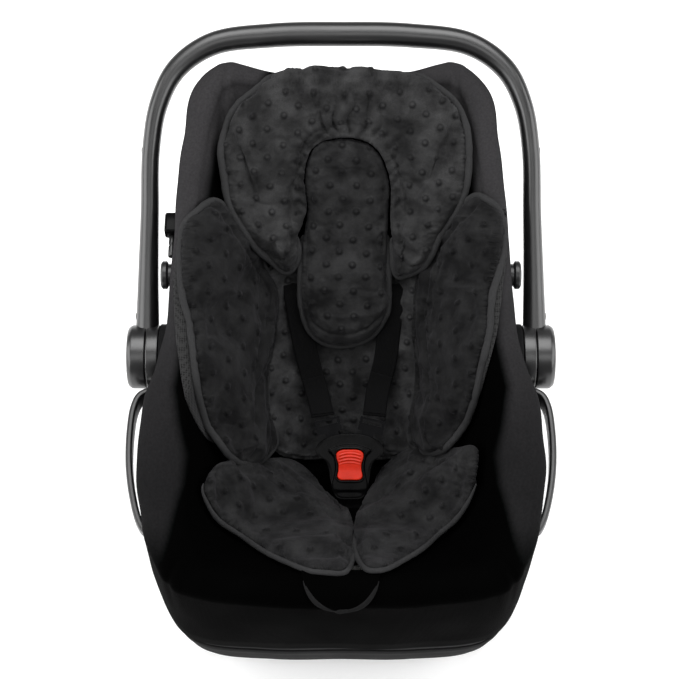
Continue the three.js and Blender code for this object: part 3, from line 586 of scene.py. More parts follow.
def spine_height(y):
    ys, zs = SPINE[:, 0], SPINE[:, 1]
    k = np.clip(np.searchsorted(ys, y, side="right") - 1, 0, len(ys) - 2)
    low, high = np.maximum(k - 1, 0), np.minimum(k + 2, len(ys) - 1)
    m0 = (zs[k + 1] - zs[low]) / (ys[k + 1] - ys[low])
    m1 = (zs[high] - zs[k]) / (ys[high] - ys[k])
    h = ys[k + 1] - ys[k]
    s = (y - ys[k]) / h
    a, b = zs[k], zs[k + 1]
    square, cube = 3 * (b - a) - h * (2 * m0 + m1), 2 * (a - b) + h * (m0 + m1)
    return PIVOT_Z + a + h * m0 * s + square * s**2 + cube * s**3


def bed_row(mouth, t):
    lift = mouth[:, 2] - spine_height(mouth[:, 1])
    y = BED_CENTRE_Y + (mouth[:, 1] - BED_CENTRE_Y) * t
    return np.stack([mouth[:, 0] * t, y, spine_height(y) + lift * t**BED_POWER], -1)


COLUMNS = 480
ring = Stations(np.arange(COLUMNS) / COLUMNS)
mouth = ring.rolled(180)
WALL_ROWS = [1, 0.75, 0.5, 0.25]
ROLL_ROWS = list(range(0, 181, 12))
BED_ROWS = [0.985, 0.97, 0.95, 0.93, 0.905, 0.88, 0.85, 0.82, 0.79, 0.76, 0.73, 0.7, 0.66, 0.62, 0.58, 0.54,
            0.5, 0.46, 0.42, 0.38, 0.34, 0.3, 0.26, 0.22, 0.18, 0.14, 0.1, 0.06, 0.03]
bowl = np.stack([ring.wall(ring.hem() * s) for s in WALL_ROWS] + [ring.rolled(a) for a in ROLL_ROWS]
                + [bed_row(mouth, t) for t in BED_ROWS])
MOUTH_ROW = len(WALL_ROWS) + len(ROLL_ROWS) - 1


def grid_normals(rows):
    along = np.roll(rows, -1, 1) - np.roll(rows, 1, 1)
    across = np.gradient(rows, axis=0)
    return unit(np.cross(along, across))


bowl_normals = grid_normals(bowl)
if bowl_normals[MOUTH_ROW - 8, 0, 2] < 0:
    bowl_normals = -bowl_normals


def around_hub(points, limit):
    """Skin held in beside the handle's hubs, and freed away from them."""
    p = points.copy()
    away = np.hypot(p[..., 1], p[..., 2] - PIVOT_Z)
    most = limit + 40 * smooth_step(away, 36.0, 70.0)
    over = np.abs(p[..., 0]) > most
    p[..., 0] = np.where(over, np.sign(p[..., 0]) * most, p[..., 0])
    return p


def bed_box(name, u, v, width, height, slope):
    """A cutter along the bed's normal, at a place in the seat frame."""
    bpy.ops.mesh.primitive_cube_add(size=1)
    o = bpy.context.object
    o.name = name
    o.dimensions = (width * MM, height * MM, 0.07)
    at = to_row(np.array([u, v, surface_w(bed_tree, u, v)]))
    o.location = Vector(at * MM)
    o.rotation_euler = (math.radians(slope), 0, 0)
    bpy.context.view_layer.update()
    return o


def surface_w(tree, u, v):
    """Height of a surface over the seat frame's plane, seen from the mouth."""
    start = Vector(to_row(np.array([u, v, 500.0])) * MM)
    hit = tree.ray_cast(start, Vector((0, SIN, -COS)))[0]
    return -150.0 if hit is None else float(to_seat(np.array(hit) / MM)[2])


def tree_of(points, faces):
    return BVHTree.FromPolygons((points * MM).tolist(), faces)


bed_tree = tree_of(bowl.reshape(-1, 3), grid_faces(len(bowl), COLUMNS))

SLOTS = [(-50, 105, 32, 9, 47), (50, 105, 32, 9, 47), (8, -158, 34, 10, -32)]
ADJUSTER = {"y": -212, "width": 44, "length": 30, "slope": -42}


def strap_holes(o):
    for k, hole in enumerate(SLOTS):
        cut(o, bed_box(f"slot_{k}", *hole))
    z = float(spine_height(np.array([float(ADJUSTER["y"])]))[0])
    v = to_seat(np.array([0, ADJUSTER["y"], z]))[1]
    return cut(o, bed_box("slot_adjuster", 0, v, ADJUSTER["width"], ADJUSTER["length"], ADJUSTER["slope"]))


# Seams of the cover, as lines over the seat frame's plane, left and right of the middle.
COVER_SEAMS = [
    [(-200, -172), (-182, -203), (-160, -236), (-140, -252)],
    [(-160, -196), (-166, -214), (-160, -236)],
    [(-118, 300), (-122, 262), (-126, 200), (-132, 150)],
]
COVER_SEAMS += [[(-u, v) for u, v in line] for line in COVER_SEAMS]


def distance_to(line, points):
    """Distance in a plane from points to a polyline."""
    best = np.full(len(points), 1e9)
    for a, b in zip(line[:-1], line[1:]):
        d = b - a
        t = np.clip(((points - a) @ d) / max(d @ d, 1e-9), 0, 1)
        best = np.minimum(best, np.linalg.norm(points - a - t[:, None] * d, axis=1))
    return best


def ripples(points, scale, seed):
    """Smooth random height from a few crossed waves."""
    rng = np.random.default_rng(seed)
    total = np.zeros(len(points))
    for _ in range(9):
        k = rng.normal(size=points.shape[1])
        k = k / np.linalg.norm(k) * 2 * math.pi / (scale * rng.uniform(0.6, 1.6))
        total += np.sin(points @ k + rng.uniform(0, 2 * math.pi))
    return total / 3


def cover_shape():
    flat = bowl.reshape(-1, 3)
    normal = bowl_normals.reshape(-1, 3)
    seat = to_seat(flat)
    facing = smooth_step(to_seat(flat + normal)[:, 2] - seat[:, 2], 0.05, 0.3)
    height = 0.7 * ripples(flat, 70, 3)
    for line in COVER_SEAMS:
        d = distance_to(evenly(np.array(line, float), 40), seat[:, :2])
        height += facing * (0.9 * np.exp(-(((d - 7) / 5) ** 2)) - 1.8 * np.exp(-((d / 2.2) ** 2)))
    return (flat + normal * height[:, None]).reshape(bowl.shape)


# Inner edge of the painted light on the cover's sides, inside which the inner slopes get painted shade, as (v,
# distance from the middle).
PAINTED_SHADE_EDGE = np.array([
    (-270, 190), (-240, 178), (-192, 171), (-150, 164), (-124, 157), (-97, 155), (-66, 163), (-29, 169),
    (60, 152), (150, 143), (184, 138), (216, 132), (247, 117), (278, 88), (330, 60),
], float)


def painted_light_shares(o):
    """Painted light and shade on the cover: near 1 where it faces outward and beside the rim, falling toward the
    foot, and 0, painted dark, on its inner slopes and front; the dark front is partly a dark front cloth below its
    seams and partly painted shade.
    """
    row = points_of(o)
    seat, normal = to_seat(row), normals_of(o)
    out = unit(np.stack([row[:, 0], row[:, 1] - BED_CENTRE_Y, 0 * row[:, 0]], -1))
    # Painted light where the cover faces outward from the middle.
    outer = smooth_step((normal * out).sum(1), 0.6, 0.9)
    # Painted light beyond the edge listed above, painted shade on the inner slopes inside it.
    beyond = np.abs(seat[:, 0]) - np.interp(seat[:, 1], PAINTED_SHADE_EDGE[:, 0], PAINTED_SHADE_EDGE[:, 1])
    # Painted shade: dark on the front from v -150 down to -225, which is partly a dark front cloth, and darker
    # toward the foot.
    side = smooth_step(seat[:, 1], -225, -150) * (0.4 + 0.6 * smooth_step(seat[:, 1], -130, 150))
    mark(o, "painted_light", np.maximum(outer, smooth_step(beyond, -9, 6)) * side)


cover_top = around_hub(cover_shape(), COVER_LIMITS[0])
cover_under = around_hub(cover_top - bowl_normals * CLOTH_T, COVER_LIMITS[1])
cover = dress(layer_object("seat_cover_fabric", cover_top, cover_under, capped=True), "cover")
strap_holes(cover)
painted_light_shares(cover)
stands_for(cover, "shell", "seat_cover", "cover_fabric")

deep = COVER_T + LAYER_GAP
foam_rows = slice(MOUTH_ROW + 4, None)
foam = dress(layer_object("foam_liner_beads", (bowl - bowl_normals * deep)[foam_rows],
                          (bowl - bowl_normals * (deep + FOAM_T))[foam_rows], capped=True), "foam")
strap_holes(foam)
stands_for(foam, "shell", "foam_liner", "foam")


def upper_shell():
    skirt = np.stack([ring.wall(ring.hem() + SEAM * s) for s in (1, 0.75, 0.5, 0.25)])
    rows = np.concatenate([skirt, bowl])
    normals = np.concatenate([np.repeat(bowl_normals[:1], len(skirt), 0), bowl_normals])
    at = np.arange(len(rows))[:, None, None]
    foam_share = np.clip((at - len(skirt) - MOUTH_ROW - 2) / 6, 0, 1)
    depth = deep + (FOAM_T + LAYER_GAP) * foam_share
    depth[:1] += 0.8
    top = around_hub(rows - normals * depth, UPPER_LIMITS[0])
    under = around_hub(rows - normals * (depth + SHELL_T), UPPER_LIMITS[1])
    return strap_holes(layer_object("upper_shell_skin", top, under, capped=True))


def lathe(name, profile, sides=72, turn=1):
    """Turned about X from a list of (radius, x)."""
    a = np.linspace(0, 2 * math.pi, sides, endpoint=False)
    p = np.array(profile, float)
    x = np.broadcast_to(turn * p[:, 1:2], (len(p), sides))
    rows = np.stack([x, p[:, :1] * np.cos(a), p[:, :1] * np.sin(a)], -1)
    return tidy_normals(mesh_object(name, rows.reshape(-1, 3), grid_faces(len(p), sides, wrap_rows=True)))


def rounded(profile, r, steps=4):
    """A closed profile with its corners rounded."""
    p = np.array(profile, float)
    out = []
    for k in range(len(p)):
        a, b, c = p[k - 1], p[k], p[(k + 1) % len(p)]
        da, dc = a - b, c - b
        la, lc = np.linalg.norm(da), np.linalg.norm(dc)
        cut_at = min(r, 0.45 * la, 0.45 * lc)
        start, end = b + da / la * cut_at, b + dc / lc * cut_at
        for s in np.linspace(0, 1, steps):
            out.append((1 - s) ** 2 * start + 2 * s * (1 - s) * b + s**2 * end)
    return np.array(out)


def shift(o, x=0, y=0, z=0):
    set_points(o, points_of(o) + np.array([x, y, z]))
    return o


shell_parts = [upper_shell()]
boss_profile = [(PIN_R, BOSS["inner"]), (BOSS["r"], BOSS["inner"]),
                (BOSS["r"], BOSS["outer"]), (PIN_R, BOSS["outer"])]
for side in (-1, 1):
    shell_parts.append(shift(lathe(f"boss_{side}", rounded(boss_profile, 1.2), turn=side), z=PIVOT_Z))
upper = smooth(dress(joined("upper_shell_moulding", shell_parts), "shell"))
stands_for(upper, "shell", "upper_shell", "shell_plastic")


def lower_shell():
    """The tub under the seam, with a bead along its top, two shallow belt lines and a rounded base edge."""
    seam = ring.hem() + SEAM + 0.5
    shares = np.concatenate([[0, 0.012, 0.03, 0.05], np.linspace(0.09, 0.97, 26), [0.985, 1.0]])
    rows = np.stack([ring.wall(seam + (90 - seam) * s) for s in shares])
    normals = grid_normals(rows)
    if (normals[4, 0] * np.array([0, 1, 0])).sum() < 0:
        normals = -normals
    z = rows[..., 2]
    inset = deep * (1 - shares)[:, None] * np.ones(COLUMNS)
    inset -= 1.2 * smooth_step(shares, 0.0, 0.03)[:, None] * (1 - smooth_step(shares, 0.03, 0.06))[:, None]
    for height in (58, 66):
        inset += 0.9 * np.exp(-(((z - height) / 1.6) ** 2))
    outer = rows - normals * inset[..., None]
    outer[-1] = rows[-1]
    outer[..., 2] = np.maximum(outer[..., 2], 0)
    inner = rows - normals * (inset + SHELL_T)[..., None]
    inner[-1] = rows[-1] * np.array([0.975, 0.975, 1])
    inner[..., 2] = np.maximum(inner[..., 2], SHELL_T)
    centre = np.array([0, BASE["y"], 0])
    for share in (0.985, 0.9, 0.6, 0.25):
        base = centre + (rows[-1] - centre) * share
        base[:, 2] = 0
        outer = np.concatenate([outer, base[None]])
        inner = np.concatenate([inner, base[None] * np.array([0.97, 0.97, 0]) + np.array([0, 0, SHELL_T])])
    outer, inner = around_hub(outer, LOWER_LIMITS[0]), around_hub(inner, LOWER_LIMITS[1])
    return layer_object("lower_shell_moulding", outer, inner, capped=True)


stands_for(dress(lower_shell(), "shell"), "shell", "lower_shell", "shell_plastic")

# ---- Carry handle ----
# x, distance from the pivot, half width: widest at the hub and at the grip.
HANDLE_LINE = np.array([
    (201, 26, 12), (200.2, 80, 10.6), (198.7, 150, 9.4), (197.3, 215, 9.2), (189.5, 262, 9.7),
    (171, 299, 10.8), (134, 325, 11.8), (72, 334, 12.4), (0, 335.5, 12.5),
])
HANDLE_DEPTH = 14.5


def handle_half(name, outer):
    """Half of the oval tube, with a fine parting line where it meets the other half."""
    loop = np.vstack([HANDLE_LINE, HANDLE_LINE[-2::-1] * np.array([-1, 1, 1])])
    line = evenly(loop, 261)
    width, line = line[:, 2:], line[:, :2]
    t = tangents(line)
    out = np.stack([t[:, 1], -t[:, 0]], -1) * (1 if outer else -1)
    angles = np.radians(np.linspace(-90, 90, 33))
    rounds = np.cos(angles) ** 0.92
    heights = np.sign(angles) * np.abs(np.sin(angles)) ** 0.92 * HANDLE_DEPTH
    heights = np.concatenate([heights, [HANDLE_DEPTH * 0.4, -HANDLE_DEPTH * 0.4]])
    rounds = np.concatenate([rounds, [0, 0]])
    rows = np.zeros((len(line), len(heights), 3))
    rows[..., :2] = line[:, None] + out[:, None] * (0.02 + width * rounds)[..., None]
    rows[..., 2] = heights
    return tidy_normals(mesh_object(name, rows.reshape(-1, 3), capped_faces(len(line), len(heights))))


def hub_cups():
    """Profiles of the hub's two halves: (radius, x)."""
    inner, outer, r = HUB["inner"], HUB["outer"], HUB["r"]
    below, above = HUB["split"] - PARTING, HUB["split"] + PARTING
    return {
        "inner": [(PIN_R, inner), (PIN_R, inner + 4), (r - 3, inner + 4), (r - 3, below), (r, below),
                  (r, inner)],
        "outer": [(BUTTON_R, outer - 3), (BUTTON_R, outer), (r - 3, outer), (r, outer - 4), (r, above),
                  (r - 3, above), (r - 3, outer - 3)],
    }


def plug_marks(which):
    """Round screw plugs let into the side tubes."""
    marks = []
    if which == "outer":
        for side in (-1, 1):
            for along in (42, 214):
                profile = rounded([(0.01, 0), (3.6, 0), (3.6, 0.9), (3.0, 1.2), (0.01, 1.2)], 0.3, 3)
                face = HANDLE_LINE[:4, 0] + HANDLE_LINE[:4, 2]
                x = float(np.interp(along, HANDLE_LINE[:4, 1], face)) - 0.6
                marks.append(shift(lathe(f"plug_{side}_{along}", profile, 32, side), x=side * x, y=along))
    return marks


for which in ("inner", "outer"):
    parts = [handle_half(f"tube_{which}", which == "outer")] + plug_marks(which)
    parts += [lathe(f"cup_{which}_{side}", rounded(hub_cups()[which], 1.6), turn=side) for side in (-1, 1)]
    half = joined(f"handle_{which}_moulding", parts)
    set_points(half, to_row(points_of(half)))
    stands_for(crisp(dress(half, "handle")), "handle", f"handle_{which}_shell", "handle_plastic")


# ---- The surface that the insert lies on, over the seat frame's plane ----
class Surface:
    """Heights w over a grid of (u, v), read between its points."""

    STEP = 4.0
    LOW = np.array([-208.0, -268.0])

    def __init__(self, w):
        self.w = w

    @classmethod
    def under(cls, tree):
        us = np.arange(cls.LOW[0], 209, cls.STEP)
        vs = np.arange(cls.LOW[1], 321, cls.STEP)
        return cls(np.array([[surface_w(tree, u, v) for v in vs] for u in us]))

    def smoothed(self, rounds):
        w = self.w.copy()
        for _ in range(rounds):
            p = np.pad(w, 1, mode="edge")
            w = (p[:-2, 1:-1] + p[2:, 1:-1] + p[1:-1, :-2] + p[1:-1, 2:] + 4 * w) / 8
        return Surface(w)

    def at(self, u, v):
        s = (np.stack([u, v], -1) - self.LOW) / self.STEP
        most = np.array(self.w.shape) - 1.001
        s = np.clip(s, 0, most)
        i = s.astype(int)
        f = s - i
        w, a, b = self.w, i[..., 0], i[..., 1]
        fa, fb = f[..., 0], f[..., 1]
        return ((w[a, b] * (1 - fb) + w[a, b + 1] * fb) * (1 - fa)
                + (w[a + 1, b] * (1 - fb) + w[a + 1, b + 1] * fb) * fa)

    def normal(self, u, v, steepest=1.7):
        e = 5.0
        du = np.clip((self.at(u + e, v) - self.at(u - e, v)) / (2 * e), -steepest, steepest)
        dv = np.clip((self.at(u, v + e) - self.at(u, v - e)) / (2 * e), -steepest, steepest)
        return unit(np.stack([-du, -dv, np.ones_like(du)], -1))


cover_tree = tree_of(cover_top.reshape(-1, 3), grid_faces(len(bowl), COLUMNS))
seat_surface = Surface.under(cover_tree)
soft_surface = seat_surface.smoothed(12)


def laid(u, v, height):
    """A seat-frame point at a height over the cover, along the bed's own normal there."""
    u, v, height = np.broadcast_arrays(np.asarray(u, float), v, height)
    soft = soft_surface.at(u, v)
    w = soft + 3 * np.logaddexp(0, (seat_surface.at(u, v) + 0.6 - soft) / 3)
    return np.stack([u, v, w], -1) + soft_surface.normal(u, v) * height[..., None]


# ---- The plush insert ----
GRAIN = 2.7  # spacing of the points of a pad before it is subdivided
DOT = {"u": 14.6, "v": 13.6, "r": 4.6, "height": 2.4}
PIPING_R = 3.8
LEG_PIPING_R = 2.7
FLUSH = 0.62  # how high a sewn edge stays, as a share of the pad's crown

# A pad's gap under it, its height, how far in from its edge it rises, the slack and pressure of its cloth, the
# most that the cloth moves, its look, how high its sewn edge stays, its seed of random draws and its outline.
WING = {"clear": 1.5, "crown": 15, "reach": 44, "grow": 0.07, "pressure": 3, "cap": 6, "plush": "wing_plush_painted_shade"}
LEG = {"crown": 14, "reach": 38, "grow": 0.08, "pressure": 3, "cap": 5, "plush": "leg_plush_painted_shade", "flush": 0.12}
PADS = {
    "insert_back_pad": {
        "clear": 0.6, "crown": 7, "reach": 16, "grow": 0.03, "pressure": 1.5, "cap": 3,
        "plush": "back_plush_painted_light", "seed": 11,
        "outline": [
            (-80, 96), (-84, 40), (-90, -20), (-90, -80), (-70, -108), (-30, -116), (3, -112), (34, -116),
            (76, -108), (95, -80), (94, -20), (90, 40), (86, 96), (40, 104), (3, 106), (-40, 104),
        ],
    },
    "insert_wing_left": {
        **WING, "seed": 21,
        "outline": [
            (-96, 118), (-117, 149), (-135, 161), (-148.5, 150), (-155.5, 134), (-159, 96), (-157, 56),
            (-152.5, 7), (-147, -43), (-136, -84), (-127, -103), (-113, -115), (-99, -116), (-83, -101),
            (-78, -84), (-83, -54), (-84, -29), (-79, 4), (-74, 29), (-71, 66), (-84, 96),
        ],
    },
    "insert_wing_right": {
        **WING, "seed": 31,
        "outline": [
            (88, 92), (82, 36), (85, -2), (86, -34), (80, -75), (86, -94), (102, -104), (118, -99),
            (131, -72), (140, -44), (146, -11), (153, 27), (155, 64), (159.5, 104), (160, 130), (156, 150),
            (143, 165), (125, 150), (106, 128),
        ],
    },
    "insert_leg_pad_left": {
        **LEG, "clear": 2, "seed": 41,
        "outline": [
            (-133, -111), (-110, -108), (-86, -112), (-60, -117), (-33, -135), (-15, -152), (-1, -163),
            (7, -166), (12, -185), (11, -203), (3, -209), (-14, -209), (-42, -206), (-77, -196),
            (-108, -181), (-127, -166), (-138, -148), (-143, -130),
        ],
    },
    "insert_leg_pad_right": {
        **LEG, "clear": 3, "seed": 51,
        "outline": [
            (143, -91), (121, -95), (85, -102), (60, -119), (42, -137), (28, -157), (19, -171), (14, -187),
            (15, -200), (23, -207), (38, -208), (60, -203), (91, -190), (118, -170), (135, -143),
            (144, -114),
        ],
    },
    "insert_head_support": {
        "clear": 4, "crown": 20, "reach": 38, "grow": 0.07, "pressure": 3, "cap": 7,
        "plush": "head_plush_painted_light", "seed": 61,
        "outline": [
            (-46, 133), (-46, 114), (-50, 102), (-60, 96), (-85, 105), (-103, 117), (-112, 130),
            (-121, 150), (-127, 187), (-130, 212), (-123, 239), (-108, 263), (-87, 277), (-63, 284),
            (-27, 287), (18, 285), (50, 284), (92, 282), (109, 274), (125, 257), (134, 236), (137, 200),
            (135, 175), (129, 151), (117, 128), (108, 108), (97, 95), (69, 89), (59, 98), (57, 116),
            (51, 150), (51, 190), (42, 215), (28, 228), (5, 233), (-20, 229), (-32, 219), (-38, 197),
            (-36, 160),
        ],
    },
    "insert_head_pad": {
        "clear": 3, "crown": 14, "reach": 22, "grow": 0.03, "pressure": 1.5, "cap": 3,
        "plush": "head_pad_plush_painted_shade", "seed": 71,
        "outline": [
            (-38, 197), (-36, 158), (-41, 128), (-43, 90), (-43, 56), (-34, 33), (-19, 21), (1, 17),
            (20, 20), (37, 29), (55, 51), (56, 58), (52, 90), (50, 113), (50, 155), (51, 188), (42, 214),
            (28, 227), (5, 232), (-20, 228), (-32, 218),
        ],
    },
}


def extra_lift(name, u, v):
    """How much further than its clearance a pad stands off the cover, to lie over its neighbours."""
    if name == "insert_head_support":
        return 12 * smooth_step(-v, -170, -118)
    if name == "insert_head_pad":
        return 14 * smooth_step(-v, -150, -80)
    if name.startswith("insert_wing"):
        return 8 * smooth_step(-v, 66, 100)
    return np.zeros_like(u)


def upper_edge(u, v):
    """How far a place on a leg pad lies above the line that its upper edge follows."""
    return v + 112 + 0.62 * np.maximum(0, 66 - np.abs(u - 3))


def sewn_on(name, u, v):
    """1 where a pad's edge is sewn to its neighbour with no piping, and stays nearly as high as its middle."""
    if name in ("insert_head_support", "insert_head_pad"):
        return smooth_step(v, 124, 142) * smooth_step(-np.hypot((u - 7) / 60, (v - 150) / 92), -1.06, -0.98)
    if name.startswith("insert_leg_pad"):
        return smooth_step(upper_edge(u, v), -17, -11)
    return np.zeros_like(u)


def gathers(name, u, v):
    """Folds that the sewing draws up, as a height."""
    if name == "insert_back_pad":
        return 6 * np.exp(-(((u - 6) / 13) ** 2)) * smooth_step(v, -84, -62) * smooth_step(-v, -30, 10)
    if name == "insert_head_support":
        share = smooth_step(v, 222, 236) * smooth_step(-v, -290, -258) * np.exp(-(((u - 10) / 36) ** 4))
        fan = (u - 10) / (1 + 0.012 * (v - 230))
        spread = fan + 2.4 * np.sin(v / 9 + u / 12) + 1.5 * np.sin(v / 4.7 - u / 17)
        side = smooth_step(v, 140, 160) * smooth_step(-v, -236, -222)
        rim = np.minimum(np.abs(u + 37), np.abs(u - 51))
        along = side * np.exp(-((rim / 13) ** 2)) * (np.abs(np.sin(v * math.pi / 13 + 1.5 * np.sin(u / 6))) - 0.75)
        return share * 5.4 * (np.abs(np.sin(spread * math.pi / 12.5)) ** 0.7 - 0.75) + 2.6 * along
    if name.startswith("insert_leg_pad"):
        side = np.abs(u - 3)
        across = upper_edge(u, v)
        along = side * 0.85 - v * 0.5
        share = np.exp(-((across / 24) ** 2))
        rows = np.abs(np.sin(across * math.pi / 8.5 + 0.5 * np.sin(along / 5)))
        tucks = np.abs(np.sin(along * math.pi / 8 + 1.1 * np.sin(across / 6)))
        return share * 2.0 * ((rows * tucks) ** 0.7 - 0.5)
    return np.zeros_like(u)


def inside(loop, points):
    """Which points lie inside a closed loop."""
    x, y = points[:, 0], points[:, 1]
    odd = np.zeros(len(points), bool)
    for (x0, y0), (x1, y1) in zip(loop, np.roll(loop, -1, 0)):
        if y0 == y1:
            continue
        odd ^= ((y0 > y) != (y1 > y)) & (x < (x1 - x0) * (y - y0) / (y1 - y0) + x0)
    return odd


def triangulated(loop):
    """Points and triangles that fill a closed loop; the loop's own points come first."""
    low, high = loop.min(0), loop.max(0)
    rows = []
    for k, v in enumerate(np.arange(low[1], high[1], GRAIN * 0.866)):
        u = np.arange(low[0] + (k % 2) * GRAIN / 2, high[0], GRAIN)
        rows.append(np.stack([u, np.full_like(u, v)], -1))
    fill = np.concatenate(rows)
    fill = fill[inside(loop, fill)]
    closed = np.vstack([loop, loop[:1]])
    fill = fill[distance_to(closed, fill) > GRAIN * 0.62]
    points = np.concatenate([loop, fill])
    n = len(loop)
    made = delaunay_2d_cdt([Vector(p) for p in points], [(k, (k + 1) % n) for k in range(n)], [], 1, 1e-5)
    tris = [[made[3][i][0] for i in f] for f in made[2]]
    return points, [t for t in tris if len(set(t)) == 3]


def puffed(name, points, faces, pinned, shape):
    """Cloth that fills out under pressure from a slack cut, held along its seam."""
    o = mesh_object(f"sim_{name}", to_row(points), faces)
    group = o.vertex_groups.new(name="pin")
    group.add([int(k) for k in pinned], 1.0, "REPLACE")
    m = o.modifiers.new("cloth", "CLOTH")
    s = m.settings
    s.quality, s.mass = 5, 0.2
    s.tension_stiffness = s.compression_stiffness = 12
    s.shear_stiffness, s.bending_stiffness = 5, 0.15
    s.use_pressure, s.uniform_pressure_force = True, shape["pressure"]
    s.vertex_group_mass = "pin"
    s.shrink_min = -shape["grow"]
    s.effector_weights.gravity = 0
    m.point_cache.frame_end = SIM_FRAMES
    scene = bpy.context.scene
    for f in range(1, SIM_FRAMES + 1):
        scene.frame_set(f)
    dg = bpy.context.evaluated_depsgraph_get()
    result = points_of(o.evaluated_get(dg))
    scene.frame_set(1)
    bpy.data.objects.remove(o)
    moved = to_seat(result) - points
    far = np.linalg.norm(moved, axis=1, keepdims=True)
    return points + moved * np.minimum(1, shape["cap"] / np.maximum(far, 1e-6))


def dot_heights(points, normals, seed):
    """0 to 1 at each point: how far up one of the raised dots it is."""
    rng = np.random.default_rng(seed)
    i, j = np.meshgrid(np.arange(-14, 15), np.arange(-20, 26), indexing="ij")
    keep = (i + j) % 2 == 0
    centres = np.stack([i[keep] * DOT["u"], j[keep] * DOT["v"]], -1) + rng.normal(0, 0.7, (keep.sum(), 2))
    centres += 2.2 * np.sin(centres[:, ::-1] / 31 + seed)
    best = np.full(len(points), 1e9)
    top = normals[:, 2] > 0.1
    where = points[top]
    out = np.full(len(where), 1e9)
    for c in centres:
        flat = np.hypot(where[:, 0] - c[0], where[:, 1] - c[1])
        k = int(np.argmin(flat))
        if flat[k] > 3:
            continue
        near = flat < 12
        out[near] = np.minimum(out[near], np.linalg.norm(where[near] - where[k], axis=1))
    best[top] = out
    return np.clip(1 - (best / DOT["r"]) ** 2, 0, 1) ** 1.3


def pad(name, shape):
    outline = np.array(shape["outline"], float)
    length = np.linalg.norm(np.diff(np.vstack([outline, outline[:1]]), axis=0), axis=1).sum()
    loop = evenly(outline, int(length / GRAIN), closed=True)
    flat, faces = triangulated(loop)
    u, v = flat[:, 0], flat[:, 1]
    n = len(loop)
    closed = np.vstack([loop, loop[:1]])
    d = distance_to(closed, flat)
    base = shape["clear"] + extra_lift(name, u, v)
    share = np.clip(d / shape["reach"], 0, 1)
    flush = shape.get("flush", FLUSH) * sewn_on(name, u, v)
    rise = shape["crown"] * (flush + (1 - flush) * np.sqrt(1 - (1 - share) ** 2))
    top = laid(u, v, base + PIPING_R + rise)
    bottom = laid(u, v, base + PIPING_R * (1 - np.clip(d / 6, 0, 1)) * 0.9)
    bottom[:n] = top[:n]
    top = puffed(name, top, faces, range(n), shape)
    lower = {k: (k if k < n else k + len(flat) - n) for k in range(len(flat))}
    verts = np.concatenate([top, bottom[n:]])
    all_faces = list(faces) + [[lower[k] for k in reversed(f)] for f in faces]
    o = tidy_normals(mesh_object(name + "_plush", to_row(verts), all_faces))
    o.modifiers.new("finer", "SUBSURF").levels = 1
    apply_modifiers(o)
    points = to_seat(points_of(o))
    normals = to_seat(points_of(o) + normals_of(o)) - points
    d = distance_to(closed, points[:, :2])
    facing = smooth_step(normals[:, 2], 0.05, 0.4)
    mask = dot_heights(points, normals, shape["seed"]) * smooth_step(d, 4, 9) * facing
    height = DOT["height"] * mask
    seam = 5.2 + 0.6 * ripples(points, 22, shape["seed"] + 5)
    sewn = sewn_on(name, points[:, 0], points[:, 1])
    groove = 2.4 * np.exp(-(((d - seam) / 1.5) ** 2)) * (1 - sewn)
    height += facing * (gathers(name, points[:, 0], points[:, 1]) - groove)
    pucker = np.abs(ripples(to_row(points), 15, shape["seed"])) - 0.7
    swell = facing * 0.8 * ripples(points, 38, shape["seed"] + 1)
    height += facing * 1.3 * pucker * np.exp(-(((d - 9) / 6) ** 2)) + swell
    set_points(o, to_row(points + normals * height[:, None]))
    mark(o, "dot", mask)
    sewn = sewn_on(name, loop[:, 0], loop[:, 1]) > 0.5
    start = int(np.argmax(sewn & ~np.roll(sewn, -1))) + 1 if sewn.any() else 0
    kept = np.roll(top[:n], -start, 0)[: n - int(sewn.sum())]
    line = to_row(kept)
    on_legs = name.startswith("insert_leg_pad")
    radius = (LEG_PIPING_R if on_legs else PIPING_R) * (1 + 0.05 * ripples(line, 9, shape["seed"] + 2))
    if sewn.any():
        from_end = np.minimum(np.arange(len(line)), np.arange(len(line))[::-1])
        radius *= np.sqrt(np.clip(from_end / (14 if on_legs else 4) + 0.05, 0, 1))
    dress(o, shape["plush"])
    sewing = []
    if name != "insert_back_pad":
        sewing.append(dress(tube(name + "_piping", line, radius, not sewn.any(), 0.8), "binding"))
    made = smooth(joined(name + "_quilted", [o, *sewing]))
    stands_for(made, "shell", name, "insert_plush")


for name, shape in PADS.items():
    pad(name, shape)


def mesh_edge(name, side, v_low, v_high):
    """The insert's edge strip of spacer mesh, between a wing's piping and the rim."""
    outline = np.array(PADS[f"insert_wing_{name}"]["outline"], float)
    loop = evenly(outline, 400, closed=True)
    outer = loop[(np.abs(loop[:, 0]) > 118) & (loop[:, 1] > v_low) & (loop[:, 1] < v_high)]
    outer = outer[np.argsort(outer[:, 1])]
    outer = evenly(outer, 120)
    out = np.array([side, 0.0])
    share = np.sin(np.linspace(0, math.pi, len(outer)))[:, None] ** 0.5
    rows = []
    for k in range(7):
        flat = outer + out * (-3 + (k / 6) * 14.5 * share)
        rows.append(laid(flat[:, 0], flat[:, 1], np.full(len(flat), 3.2 - 0.3 * k)))
    top = to_row(np.array(rows))
    normals = unit(np.cross(np.gradient(top, axis=1), np.gradient(top, axis=0)))
    if to_seat(top[3, 60] + normals[3, 60])[2] < to_seat(top[3, 60])[2]:
        normals = -normals
    strip = dress(layer_object(f"insert_mesh_edge_{name}", top, top - normals * 1.2, ring=False), "mesh")
    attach(strip, "shell")


mesh_edge("left", -1, -90, 150)
mesh_edge("right", 1, -60, 160)

# ---- Harness ----
WEB = {"width": 25, "thickness": 1.6}
bed_surface = Surface.under(bed_tree)


